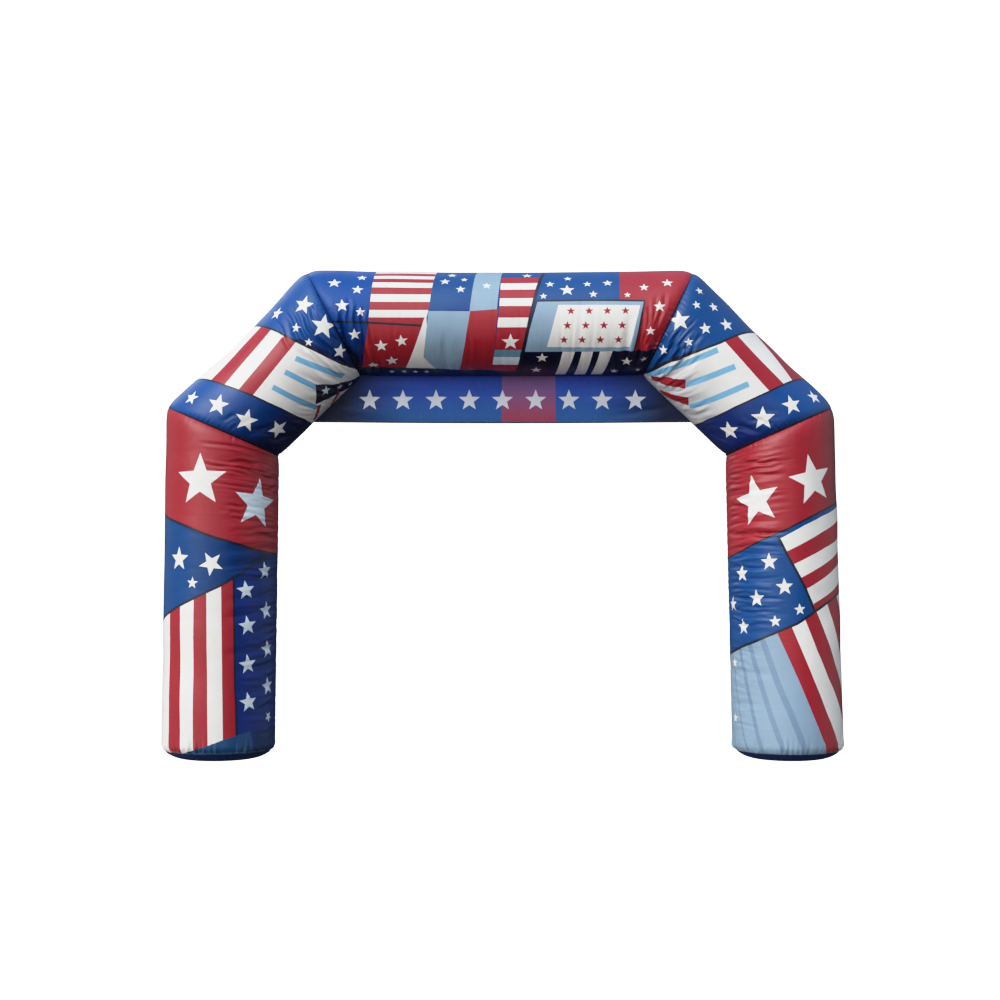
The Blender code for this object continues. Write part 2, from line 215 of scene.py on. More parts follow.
def fold_height(folds, along, around):
    """Height of the cloth over the plain tube: minus in a trough, plus on its ridges."""
    height = np.zeros_like(along)
    for fold in folds:
        share, beside = beside_fold(along, around, fold)
        near = (share > 0) & (share < 1) & (np.abs(beside) < FOLD_REACH)
        fade = np.sin(pi * share[near]) ** FOLD_TAPER
        square = beside[near] ** 2
        height[near] -= fold[4] * fade * (1 - RIDGE_SHARE * square) * np.exp(-square)
    return height


test_along, test_around = np.linspace(0.3, 2.6, 400), np.full(400, 0.5)
test_height = fold_height(FOLDS["leg_left"], test_along, test_around)
print(f"folds of the left leg: {test_height.min() * 1000:.0f} to {test_height.max() * 1000:.0f} mm")

# %% [markdown]
# ## Fine creases
#
# Between the main folds the cloth is full of small creases. Air pushes the cloth out, so a crease is
# a narrow valley between two round rolls, not a wave. The creases follow the main folds: level on
# the legs and falling towards the elbow seam, spread like a fan from the inner end of each crown
# seam. We say where a family of creases begins and ends, and draw its members between the
# two lines with a fixed seed, so that they come out the same each time. A cloth simulation would
# also give creases, but not in the places where this arch has them.
#
# The strongest creases are pleats, which we place one by one. They have the same shape.

# %% Families of creases
# a line where they start (along, around, along, around), a line where they end, how many,
# the least share of that way that one covers, depth from and to, width from and to
FAMILIES = {
    "leg_left": [
        ((2.68, 0.88, 2.05, 0.88), (2.82, -0.14, 2.12, 0.00), 28, 0.35, 0.002, 0.008, 0.010, 0.020),
        ((2.05, 0.90, 1.20, 0.90), (2.05, 0.04, 1.10, 0.16), 32, 0.30, 0.001, 0.006, 0.010, 0.020),
        ((1.20, 0.90, 0.28, 0.90), (1.08, 0.18, 0.24, 0.32), 30, 0.30, 0.002, 0.007, 0.011, 0.022),
        ((2.90, 0.00, 1.00, 0.00), (2.90, -0.70, 1.00, -0.70), 10, 0.40, 0.0006, 0.0016, 0.02, 0.04),
    ],
    "leg_right": [
        ((2.68, 0.88, 2.05, 0.88), (2.82, -0.16, 2.12, -0.04), 38, 0.35, 0.002, 0.007, 0.010, 0.020),
        ((2.05, 0.90, 1.20, 0.90), (2.08, -0.04, 1.15, 0.10), 44, 0.30, 0.003, 0.010, 0.010, 0.020),
        ((1.20, 0.90, 0.28, 0.90), (1.10, 0.22, 0.24, 0.35), 26, 0.30, 0.001, 0.004, 0.012, 0.024),
        ((2.90, 0.00, 1.00, 0.00), (2.90, -0.70, 1.00, -0.70), 8, 0.40, 0.0006, 0.0016, 0.02, 0.04),
    ],
    "slope_left": [
        ((1.23, 0.80, 1.06, 0.84), (1.38, -0.30, 0.92, 0.02), 26, 0.30, 0.004, 0.012, 0.011, 0.020),
        ((1.06, 0.84, 0.82, 0.88), (0.92, 0.10, 0.48, 0.32), 20, 0.30, 0.002, 0.008, 0.011, 0.020),
        ((0.50, 0.78, 0.34, 0.05), (0.22, 0.56, 0.02, -0.05), 18, 0.45, 0.002, 0.007, 0.011, 0.020),
        ((0.90, 0.95, 0.62, 0.95), (0.70, 0.30, 0.36, 0.38), 14, 0.40, 0.002, 0.006, 0.012, 0.022),
    ],
    "slope_right": [
        ((1.23, 0.80, 1.06, 0.84), (1.40, -0.24, 0.92, 0.00), 28, 0.30, 0.004, 0.012, 0.011, 0.020),
        ((1.12, 0.84, 0.82, 0.88), (1.00, 0.10, 0.48, 0.28), 30, 0.30, 0.002, 0.005, 0.011, 0.020),
        ((0.50, 0.78, 0.34, 0.00), (0.22, 0.56, 0.02, -0.12), 20, 0.45, 0.002, 0.006, 0.011, 0.020),
        ((0.90, 0.95, 0.62, 0.95), (0.66, 0.22, 0.34, 0.34), 16, 0.40, 0.001, 0.004, 0.012, 0.022),
    ],
    "top_beam": [
        ((-1.24, 0.80, -1.06, 0.88), (-1.50, -0.18, -1.10, 0.06), 26, 0.30, 0.004, 0.011, 0.011, 0.020),
        ((1.24, 0.80, 1.06, 0.88), (1.48, -0.16, 1.14, 0.06), 26, 0.30, 0.003, 0.010, 0.011, 0.020),
        ((-1.04, 0.90, 1.04, 0.90), (-1.06, -0.20, 1.08, -0.25), 44, 0.30, 0.0006, 0.0028, 0.012, 0.024),
    ],
}
print("families of creases:", sum(len(rows) for rows in FAMILIES.values()))

# %% Pleats placed one by one
# along and around at the start, along and around at the end, depth, width
PLEATS = {
    "leg_left": [
        (2.615, -0.10, 2.55, 0.40, 0.012, 0.016), (2.635, 0.05, 2.618, 0.40, 0.013, 0.016),
        (2.575, -0.06, 2.53, 0.30, 0.007, 0.014), (2.53, 0.40, 2.47, 0.80, 0.012, 0.018),
        (2.395, 0.42, 2.44, 0.80, 0.012, 0.018), (2.245, 0.10, 2.25, 0.34, 0.008, 0.016),
        (2.175, 0.12, 2.19, 0.34, 0.008, 0.016), (2.045, 0.28, 2.075, 0.82, 0.012, 0.018),
        (1.985, 0.25, 1.975, 0.82, 0.010, 0.018),
    ],
    "leg_right": [
        (2.622, 0.44, 2.64, 0.10, 0.011, 0.016), (2.56, 0.42, 2.60, 0.04, 0.010, 0.016),
        (2.525, 0.80, 2.55, 0.20, 0.012, 0.018), (2.43, 0.80, 2.47, 0.34, 0.014, 0.018),
        (2.49, 0.80, 2.505, 0.42, 0.010, 0.014), (2.257, 0.80, 2.256, 0.38, 0.012, 0.018),
        (2.159, 0.80, 2.159, 0.38, 0.012, 0.018), (2.017, 0.80, 2.01, 0.10, 0.014, 0.020),
    ],
    "slope_left": [
        (1.06, -0.40, 0.94, 0.02, 0.012, 0.020), (1.16, -0.36, 1.03, 0.10, 0.015, 0.022),
        (1.22, -0.33, 1.09, 0.14, 0.014, 0.020), (1.26, -0.25, 1.17, 0.12, 0.014, 0.022),
        (1.34, -0.22, 1.27, 0.04, 0.012, 0.020), (1.17, 0.02, 1.21, 0.45, 0.014, 0.026),
        (1.29, 0.00, 1.22, 0.62, 0.018, 0.024),
    ],
    "slope_right": [
        (1.26, -0.04, 1.18, 0.50, 0.015, 0.020), (1.21, -0.04, 1.10, 0.40, 0.012, 0.020),
        (1.12, -0.06, 1.03, 0.24, 0.010, 0.020), (1.37, 0.00, 1.24, 0.50, 0.014, 0.022),
        (1.16, -0.02, 1.05, 0.30, 0.012, 0.016),
    ],
    "top_beam": [
        (-1.43, -0.14, -1.39, 0.18, 0.014, 0.020), (-1.365, -0.18, -1.33, 0.22, 0.015, 0.020),
        (-1.30, -0.10, -1.27, 0.20, 0.013, 0.018), (-1.24, -0.08, -1.22, 0.19, 0.012, 0.018),
        (-1.445, 0.04, -1.295, 0.46, 0.034, 0.032), (-1.315, 0.38, -1.225, 0.84, 0.034, 0.032),
        (1.35, -0.20, 1.28, 0.50, 0.015, 0.020), (1.43, -0.24, 1.31, 0.50, 0.014, 0.020),
        (1.29, -0.10, 1.23, 0.48, 0.014, 0.018), (1.24, -0.06, 1.19, 0.44, 0.010, 0.016),
        (1.39, -0.10, 1.30, 0.34, 0.012, 0.016),
    ],
}
print("pleats:", sum(len(rows) for rows in PLEATS.values()))

# %% Drawing the creases
# lengths beside a crease are in crease widths, heights are shares of its depth
SEED = 20
CREASE_REACH = 6         # how far beside its line a crease is felt
CUSP = 0.30              # how blunt its bottom is
STEEPNESS = 1.5          # how soon its sides come up
ROLL = 0.45              # how high the roll on either side of it stands
ROLL_AT = 1.8            # how far out the top of that roll lies
ROLL_WIDTH = 0.9
WAVER_ANGLE = 9          # radians of its waver from start to end
PLEAT_WAVER = 0.5        # how far a pleat wavers
PLEAT_PHASE = 7          # makes each pleat waver in its own way
SHALLOW_BIAS = 1.9       # most creases of a family are shallow, and a few are deep


def between(line, share):
    """The point at a share of the way along a line (along, around, along, around)."""
    return line[0] + (line[2] - line[0]) * share, line[1] + (line[3] - line[1]) * share


def draw_creases(families, seed):
    """Rows of along, around at the start and the end, depth, width, waver and its phase."""
    chance = random.Random(seed)
    creases = []
    for start_line, end_line, count, least, shallow, deep, narrow, wide in families:
        for i in range(count):
            place = (i + chance.uniform(0, 1)) / count
            start, end = between(start_line, place), between(end_line, place + chance.gauss(0, 0.02))
            cover = chance.uniform(least, 1.0)
            skip = chance.uniform(0, 1 - cover) * chance.uniform(0.3, 1.0)
            begin = between((*start, *end), skip)
            stop = between((*start, *end), skip + cover)
            depth = shallow + (deep - shallow) * chance.random() ** SHALLOW_BIAS
            creases.append((*begin, *stop, depth, chance.uniform(narrow, wide),
                            chance.uniform(0.2, 0.9), chance.uniform(0, 2 * pi)))
    return creases


def crease_height(creases, along, around):
    """Height of narrow valleys with round sides. They waver a little on their way."""
    height = np.zeros_like(along)
    for crease in creases:
        share, beside = beside_fold(along, around, crease)
        near = (share > 0) & (share < 1) & (np.abs(beside) < CREASE_REACH)
        share, beside = share[near], beside[near]
        beside = beside + crease[6] * np.sin(WAVER_ANGLE * share + crease[7])
        fade = np.sin(pi * share) ** FOLD_TAPER
        blunt = np.sqrt(beside ** 2 + CUSP ** 2) - CUSP
        rolls = ROLL * np.exp(-((np.abs(beside) - ROLL_AT) / ROLL_WIDTH) ** 2)
        height[near] += crease[4] * fade * (rolls - np.exp(-STEEPNESS * blunt))
    return height


CREASES = {}
for i, (name, rows) in enumerate(FAMILIES.items()):
    pleats = [(*pleat, PLEAT_WAVER, PLEAT_PHASE * pleat[0]) for pleat in PLEATS[name]]
    CREASES[name] = draw_creases(rows, SEED + i) + pleats
print("fine creases:", {name: len(rows) for name, rows in CREASES.items()})

# %% [markdown]
# ## From the unrolled cloth to the blown-up tube
#
# One function turns (along, around) into a place in space. It adds the folds and creases, a slow
# unevenness that keeps the highlights from being ruler-straight, the way a seam draws the cloth in,
# the little puckers that the needle leaves beside it, and the rounded foot of a leg.
#
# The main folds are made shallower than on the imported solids, because the creases add to them.
# Ink makes the cloth stiffer, so it stays flatter where a star is printed on the creased side.

# %% Sizes of the folds, seams and feet
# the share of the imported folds' depth that is shown, the length over which a seam's pull dies away,
# and the width of the calmer strip along the join on the passage side
TENSION = {
    "leg_left": (0.55, 0.052, 0.16),
    "leg_right": (0.50, 0.052, 0.16),
    "slope_left": (0.70, 0.032, 0.24),
    "slope_right": (0.50, 0.036, 0.24),
    "top_beam": (0.75, 0.042, 0.24),
}
JOIN_CALM = 0.85         # how much lower the creases are along that join
CALM_REACH = 0.022       # creases run up to this close to a seam
SEAM_DRAW_IN = 0.044     # how far a mitre seam pulls the cloth in at the front line
JOIN_DRAW_IN = 0.4       # share of that at the joins
CORNER_ROUND = {"crown_left": 0.014, "crown_right": 0.014, "elbow_left": 0.003, "elbow_right": 0.010}
CORNER_REACH = 0.060     # the outer corner at a seam is rounded off over this length
FOOT_ROUND_UP = 0.15     # how high the rounded lower edge of a leg reaches
FOOT_ROUND_IN = 0.24     # how far it draws in down to the flat underside
BASE_SEAM_HEIGHT = 0.075
BASE_SEAM_DRAW_IN = 0.003
BASE_SEAM_REACH = 0.012
FOOT_CALM = 0.15         # the creases come in over this height above the base seam
BEAM_SAG = 0.005
# stars that keep the cloth flatter: along, around, reach
STIFF_STARS = {
    "leg_left": [(2.28, 0.41, 0.20)],
    "leg_right": [(2.30, 0.31, 0.16), (1.66, 0.49, 0.08), (1.39, 0.65, 0.07), (1.76, 0.20, 0.08)],
    "slope_left": [(0.38, 0.42, 0.11), (0.24, 0.15, 0.11), (1.30, 0.03, 0.12), (1.25, 0.29, 0.08)],
    "slope_right": [(0.34, 0.41, 0.12), (1.14, 0.07, 0.06), (1.25, 0.28, 0.06), (1.33, -0.01, 0.11)],
    "top_beam": [(1.38, -0.09, 0.07), (1.30, 0.14, 0.06), (-1.41, -0.10, 0.07), (-1.30, 0.17, 0.07)],
}
FLATTENED = 0.65         # how much flatter the cloth is in the middle of such a star
print("stars that keep the cloth flatter:", sum(len(rows) for rows in STIFF_STARS.values()))

# %% Puckers, unevenness and the rounded foot
# height, reach, fewest and most turns round the tube
SEAM_PUCKER = (0.0045, 0.018, 40, 100)
BASE_PUCKER = (0.0120, 0.034, 36, 85)
BUMP_COUNT = 9
BUMP_HEIGHT = 0.0007     # of each slow bump


def ripple(around, lowest, highest, count, seed):
    """A wavy line round the tube, about 1 high, that closes on itself."""
    chance = random.Random(seed)
    total = np.zeros_like(around)
    for _ in range(count):
        turns = chance.randint(lowest, highest)
        total += np.cos(turns * around / TUBE_RADIUS + chance.uniform(0, 2 * pi))
    return total / count ** 0.5


def unevenness(along, around, seed):
    """Slow bumps of a millimetre or two all over a blown-up tube."""
    chance = random.Random(seed)
    total = np.zeros_like(along)
    for _ in range(BUMP_COUNT):
        turns, slope = chance.randint(0, 5), chance.uniform(3, 15)
        total += np.cos(turns * around / TUBE_RADIUS + slope * along + chance.uniform(0, 2 * pi))
    return total * BUMP_HEIGHT


def foot_inset(height):
    """How far the rounded foot lies inside the leg's side at a height above the floor."""
    below = np.clip(1 - height / FOOT_ROUND_UP, 0, 1)
    return FOOT_ROUND_IN * (1 - np.sqrt(1 - below ** 2))


def seam_pucker(kind, distance, around, seed):
    """Little gathers beside a seam, stronger here and weaker there."""
    height, reach, fewest, most = kind
    wave = ripple(around, fewest, most, 7, seed) * (0.5 + 0.5 * ripple(around, 3, 9, 4, seed + "where"))
    return height * wave * distance / reach * np.exp(1 - distance / reach)


print(f"a foot draws in by {foot_inset(BASE_SEAM_HEIGHT) * 1000:.0f} mm at its base seam")


# %% The place of a point of the cloth
def cloth_place(section, along, around):
    """Places in space of points on a section's cloth."""
    along, around = np.asarray(along, float), np.asarray(around, float)
    first, last, _, waist = SECTIONS[section]
    fold_share, seam_reach, join_reach = TENSION[section]
    is_leg = section.startswith("leg")

    # the plain tube, ruled between its two seams
    centre_a, _, _ = seam_ellipse(first)
    centre_b, _, _ = seam_ellipse(last)
    start, end, along_a, along_b = ruling(section, around)
    share = np.clip((along - along_a) / (along_b - along_a), 0, 1)
    spoke = (start - centre_a) * (1 - share)[:, None] + (end - centre_b) * share[:, None]
    centre = centre_a + (centre_b - centre_a) * share[:, None]
    length = np.linalg.norm(end - start, axis=1)

    # folds and creases: the front's own, and the same ones round the back
    round_the_back = HALF_TURN - around
    fine = crease_height(CREASES[section], along, around)
    fine += crease_height(CREASES[section], along - BACK_SHIFT, round_the_back)
    fine += unevenness(along, around, section)
    if is_leg:
        fine *= np.clip((along - BASE_SEAM_HEIGHT) / FOOT_CALM, 0, 1)
    folds = fold_height(FOLDS[section], along, around)
    folds += fold_height(FOLDS[section], along - BACK_SHIFT, round_the_back)
    height = folds * fold_share + fine
    for star_along, star_around, reach in STIFF_STARS[section]:
        square = ((along - star_along) ** 2 + (around - star_around) ** 2) / reach ** 2
        height *= 1 - FLATTENED * np.exp(-square ** 2)
    height *= 1 - JOIN_CALM * np.exp(-((around - QUARTER) / join_reach) ** 2)

    # the mitre seams draw the cloth in, the outer corners are rounded off, and the foot rounds in
    outer_side = np.maximum(0, np.cos(around / TUBE_RADIUS + pi / 2)) ** 2
    draw_in = JOIN_DRAW_IN + (1 - JOIN_DRAW_IN) * np.cos(around / TUBE_RADIUS) ** 2
    seams = [((1 - share) * length, last)]
    if not is_leg:
        seams.append((share * length, first))
    for distance, _ in seams:
        height *= 1 - np.exp(-(distance / CALM_REACH) ** 2)
    for distance, name in seams:
        height -= SEAM_DRAW_IN * draw_in * np.exp(-distance / seam_reach)
        height += seam_pucker(SEAM_PUCKER, distance, around, section + name)
        height -= CORNER_ROUND[name] * outer_side * np.exp(-(distance / CORNER_REACH) ** 2)
    height -= waist * outer_side * np.sin(pi * share) ** 2
    if is_leg:
        above_seam = np.maximum(along - BASE_SEAM_HEIGHT, 0)
        height -= foot_inset(along) + BASE_SEAM_DRAW_IN * np.exp(-above_seam / BASE_SEAM_REACH)
        height += seam_pucker(BASE_PUCKER, above_seam, around, section + first)
        centre[:, 2] = np.where(share > 0, centre[:, 2], along)
    if section == "top_beam":
        centre[:, 2] -= BEAM_SAG * np.sin(pi * share)
    return centre + spoke * (1 + height / np.linalg.norm(spoke, axis=1))[:, None]


for section in SECTIONS:
    test_around = np.linspace(-QUARTER, 3 * QUARTER, 200)
    _, _, low, high = ruling(section, test_around)
    middle = cloth_place(section, (low + high) / 2, test_around)
    print(section, "reaches in y:", round(middle[:, 1].min(), 3), round(middle[:, 1].max(), 3))

# %% [markdown]
# ## Inks and cloth
#
# The cloth is a light polyester weave with a coating on it: half matt, with broad soft highlights.
# Each ink is a material of its own on the same cloth, so an edge of the print stays
# perfectly sharp at any distance. The cloth's own map, which is simply (along, around) in metres,
# carries the weave and the fine crumple. The crumple runs round the tube and is strongest on the
# side that faces the passage, where the cloth is slack. The colour is mottled a little, as ink
# and dust make it, and greyer close to the ground.
#
# Some inks fade into a deeper one round the tube: this fade is painted shade, on the side that turns
# away from the light. The deep blue turns a little greener towards the passage instead, a painted
# reflection. Most of the blues shine less than the other inks, so that their highlights stay blue.

# %% Shader helpers
def linear(red, green, blue):
    """A colour as painters and screens give it, 0 to 255, in the linear values of a shader."""
    parts = [part / 255 for part in (red, green, blue)]
    return (*[p / 12.92 if p <= 0.04045 else ((p + 0.055) / 1.055) ** 2.4 for p in parts], 1)


def add_node(tree, kind, settings=(), **inputs):
    """A shader node with some of its settings and inputs given. Underlines stand for spaces."""
    node = tree.nodes.new(kind)
    for name, value in dict(settings).items():
        setattr(node, name, value)
    for name, value in inputs.items():
        socket = node.inputs[int(name[1:])] if name[1:].isdigit() else node.inputs[name.replace("_", " ")]
        if hasattr(value, "node"):
            tree.links.new(value, socket)
        else:
            socket.default_value = value
    return node


def maths(tree, operation, first, second=0.0):
    return add_node(tree, "ShaderNodeMath", {"operation": operation}, _0=first, _1=second).outputs[0]


def rescale(tree, value, low, high, to_low, to_high):
    return add_node(tree, "ShaderNodeMapRange", Value=value, From_Min=low, From_Max=high,
                    To_Min=to_low, To_Max=to_high).outputs["Result"]


def mix_colour(tree, share, first, second):
    node = add_node(tree, "ShaderNodeMix", {"data_type": "RGBA"}, _0=share, _6=first, _7=second)
    return node.outputs[2]


def noise(tree, where, scale, detail, roughness=0.5):
    return add_node(tree, "ShaderNodeTexNoise", Vector=where, Scale=scale, Detail=detail,
                    Roughness=roughness).outputs["Fac"]


print("a middle grey in the shader's values:", round(linear(128, 128, 128)[0], 3))


# %% Coated cloth
WEAVE = 160              # scale of the weave
BAND_STRETCH = 20        # a wave texture of scale 1 has this many radians to the metre


def coated_cloth(name, colour, roughness=0.36, crumple=0.0032, fades=(), shine=0.5):
    """Printed coated polyester. An ink may fade to others: (colour, measured by, from, to)."""
    material = bpy.data.materials.new(name)
    material.use_nodes = True
    tree = material.node_tree
    shader = tree.nodes["Principled BSDF"]
    place = add_node(tree, "ShaderNodeTexCoord").outputs["Object"]
    height = add_node(tree, "ShaderNodeSeparateXYZ", Vector=place).outputs["Z"]
    cloth = add_node(tree, "ShaderNodeUVMap", {"uv_map": "cloth"}).outputs["UV"]
    along_around = add_node(tree, "ShaderNodeSeparateXYZ", Vector=cloth)

    # colour: mottled ink, then dust near the ground
    ink = colour
    measures = {"height": height, "round": along_around.outputs["Y"],
                "from middle": maths(tree, "ABSOLUTE", along_around.outputs["X"])}
    for far_colour, measure, near, far in fades:
        ink = mix_colour(tree, rescale(tree, measures[measure], near, far, 0, 1), ink, far_colour)
    mottle = noise(tree, place, 3.2, 5, 0.6)
    dull = mix_colour(tree, rescale(tree, mottle, 0.35, 0.7, 0, 0.10), ink, linear(0, 0, 0))
    dust = maths(tree, "MULTIPLY", rescale(tree, height, 0.35, 0.0, 0, 0.06), noise(tree, place, 14, 4))
    tree.links.new(mix_colour(tree, dust, dull, linear(84, 82, 78)), shader.inputs["Base Color"])

    # finish: uneven gloss
    gloss = rescale(tree, noise(tree, place, 7, 4), 0.3, 0.7, roughness - 0.05, roughness + 0.08)
    tree.links.new(gloss, shader.inputs["Roughness"])
    shader.inputs["Specular IOR Level"].default_value = shine
    shader.inputs["Sheen Weight"].default_value = 0.02
    shader.inputs["Sheen Roughness"].default_value = 0.4

    # relief: crumple that runs round the tube, fine crackle in the coating, and the weave
    stretched = add_node(tree, "ShaderNodeMapping", Vector=cloth, Scale=(42, 5, 1)).outputs[0]
    slack = rescale(tree, along_around.outputs["Y"], -0.30, 0.55, 0.12, 1.0)
    streaks = maths(tree, "MULTIPLY", noise(tree, stretched, 1.0, 3, 0.55), slack)
    crackle = noise(tree, place, 70, 3, 0.6)
    warp = add_node(tree, "ShaderNodeTexWave", {"bands_direction": "X"}, Vector=cloth, Scale=WEAVE)
    weft = add_node(tree, "ShaderNodeTexWave", {"bands_direction": "Y"}, Vector=cloth, Scale=WEAVE)
    weave = maths(tree, "MULTIPLY", warp.outputs["Fac"], weft.outputs["Fac"])
    bump = add_node(tree, "ShaderNodeBump", Height=streaks, Strength=1.0, Distance=crumple)
    bump = add_node(tree, "ShaderNodeBump", Height=crackle, Strength=0.6, Distance=0.0006,
                    Normal=bump.outputs["Normal"])
    bump = add_node(tree, "ShaderNodeBump", Height=weave, Strength=0.35, Distance=0.0002,
                    Normal=bump.outputs["Normal"])
    tree.links.new(bump.outputs["Normal"], shader.inputs["Normal"])
    material.diffuse_color = colour
    return material


print(f"the weave repeats every {2 * pi / (BAND_STRETCH * WEAVE) * 1000:.1f} mm")

# %% The inks
INK_COLOURS = {
    "red": (168, 32, 46),
    "navy": (2, 6, 46),
    "sky": (147, 175, 199),
    "bar": (124, 185, 224),
    "slate": (126, 151, 180),
    "white": (252, 249, 243),
    "pale": (226, 240, 252),
    "teal": (20, 72, 118),
    "grey_blue": (108, 148, 172),
    "outline": (17, 23, 42),
}
# The fades of these inks are painted shade: each darkens on the side that turns from the light. The deep
# blue's greener fade is a painted reflection, and the shade ink is a painted shadow.
# colour, the colour it fades to, where round the tube the fade begins and ends, shine
SHADED_INKS = {
    "dusk": ((4, 75, 150), (0, 14, 76), -0.12, 0.46, 0.42),
    "deep": ((1, 41, 118), (0, 50, 118), 0.35, 0.70, 0.38),
    "royal": ((5, 73, 140), None, 0, 0, 0.42),
    "low": ((0, 46, 98), None, 0, 0, 0.32),
    "shaded_red": ((168, 32, 46), (126, 32, 44), -0.28, -0.66, 0.5),
    "evening": ((4, 75, 146), (2, 38, 114), -0.25, 0.32, 0.5),
    "shade": ((0, 18, 84), None, 0, 0, 0.42),
    "bright": ((3, 73, 155), (0, 14, 76), -0.12, 0.46, 0.30),
    "shaded_white": ((252, 249, 243), (222, 222, 224), 0.05, 0.45, 0.5),
    "wedge": ((3, 72, 135), (0, 36, 96), -0.30, 0.40, 0.38),
}
INKS = {name: coated_cloth("ink " + name, linear(*rgb)) for name, rgb in INK_COLOURS.items()}
for name, (near_rgb, far_rgb, begin, end, shine) in SHADED_INKS.items():
    fades = [(linear(*far_rgb), "round", begin, end)] if far_rgb else []
    label = "ink " + name.replace("_", " ")
    INKS[name] = coated_cloth(label, linear(*near_rgb), fades=fades, shine=shine)
print("inks:", ", ".join(INKS))

# %% [markdown]
# ## A printer's kit
#
# The print is drawn on the unrolled cloth with four marks: a patch with straight sides, a line
# of some width, a band of stripes between two lists of points, and a star. A star is given as it is
# to look from the front, so each section knows which way is up and right on its cloth.

# %% Marks of the print
BLEED = 0.84             # the print runs on past the joins, to this much round the tube
STAR_NOTCH = 0.42        # where a star's inner corners lie, as a share of its points


class Print:
    """The marks on one section's cloth, in the order in which they are printed."""

    def __init__(self, section, ground):
        axis = tube_axis(section)
        inner = -seam_ellipse(SECTIONS[section][0])[1]
        inner = inner - axis * (inner @ axis)
        inner = inner / np.linalg.norm(inner)
        self.section = section
        self.ground = ground
        self.right = (axis[0], inner[0])
        self.up = (axis[2], inner[2])
        self.marks = []

    def patch(self, ink, *corners):
        self.marks.append((ink, np.array(corners, float)))

    def line(self, width, *points, ink="outline"):
        path = np.array(points, float)
        steps = np.gradient(path, axis=0)
        steps /= np.linalg.norm(steps, axis=1)[:, None]
        side = np.stack([-steps[:, 1], steps[:, 0]], axis=1) * width / 2
        self.patch(ink, *(path + side), *(path - side)[::-1])

    def bands(self, inks, *edges):
        """Stripes, each between one edge and the next."""
        for ink, edge, following in zip(inks, edges, edges[1:]):
            self.patch(ink, *edge, *following[::-1])

    def stars(self, ink, *rows):
        """Five-pointed stars: along, around, radius, tilt in degrees."""
        for along, around, radius, tilt in rows:
            corners = []
            for k in range(10):
                angle = radians(90 + tilt + 36 * k)
                reach = radius * (STAR_NOTCH if k % 2 else 1)
                x, z = reach * cos(angle), reach * sin(angle)
                corners.append((along + x * self.right[0] + z * self.up[0],
                                around + x * self.right[1] + z * self.up[1]))
            self.patch(ink, *corners)


PRINTS = {}
print(f"a star's inner corners lie at {STAR_NOTCH:.0%} of its radius")

# %% [markdown]
# ## Print of the left leg
#
# From the elbow down: red with two large stars, a blue wedge with three small ones, upright stripes
# on the outer side, and a deep blue field with two columns of pale stars towards the passage.
# Later marks cover earlier ones, so the stripes are printed first and the wedge trims their tops.

# %% Left leg
leg = PRINTS["leg_left"] = Print("leg_left", "deep")
upper_line = [(2.19, -BLEED), (2.19, -.70), (2.15, -.54), (2.11, -.39), (2.07, -.26), (2.02, -.13),
              (1.97, .01), (1.94, .12), (1.905, .24), (1.865, .38), (1.84, .55), (1.82, BLEED)]
lower_line = [(1.21, -BLEED), (1.21, -.70), (1.27, -.56), (1.32, -.42), (1.37, -.31), (1.435, -.165),
              (1.50, -.03), (1.555, .083), (1.61, .17), (1.66, .26), (1.72, .35), (1.78, .46), (1.835, .58)]
stripe_tops = [-BLEED, -.66, -.449, -.31, -.166, -.055, .073, .17]
stripe_feet = [-BLEED, -.66, -.444, -.283, -.150, -.013, .118, .230]
edges = [[(0.0, foot), (1.76, top)] for foot, top in zip(stripe_feet, stripe_tops)]
leg.bands(["red", "white"] * 3 + ["red"], *edges)
leg.patch("teal", (0.0, -.40), (.05, -.36), (.081, -.27), (.115, -.15), (.16, -.01), (.21, .12),
          (.247, .24), (.279, .364), (.0, .42))
leg.patch("low", (.27, .40), (.0, .42), (.0, BLEED), (.3, BLEED))
leg.patch("wedge", *lower_line, *upper_line[::-1])
leg.patch("red", *upper_line, (3.3, BLEED), (3.3, -BLEED))
leg.line(.018, (1.63, .185), (.68, .212), (.245, .235))
leg.line(.022, *lower_line)
leg.line(.024, *upper_line)
leg.stars("white", (2.47, -.12, .24, 0), (1.78, -.33, .11, -2), (1.74, -.01, .11, 29),
          (1.57, -.18, .055, -4))
leg.stars("pale", (2.27, .40, .23, -8), (1.51, .30, .09, 6), (1.20, .32, .09, 7), (.86, .33, .09, 7),
          (.53, .34, .09, 7), (1.68, .51, .085, 5), (1.33, .54, .085, 8), (.99, .56, .085, 8),
          (.66, .58, .085, 8), (.39, .59, .05, -30))
print("left leg:", len(leg.marks), "marks")

# %% [markdown]
# ## Print of the right leg
#
# Red with two leaning stars, a blue star patch beside slanting stripes, and a pale blue panel with
# darker bars below. Three stripes run on from it towards the outer side.

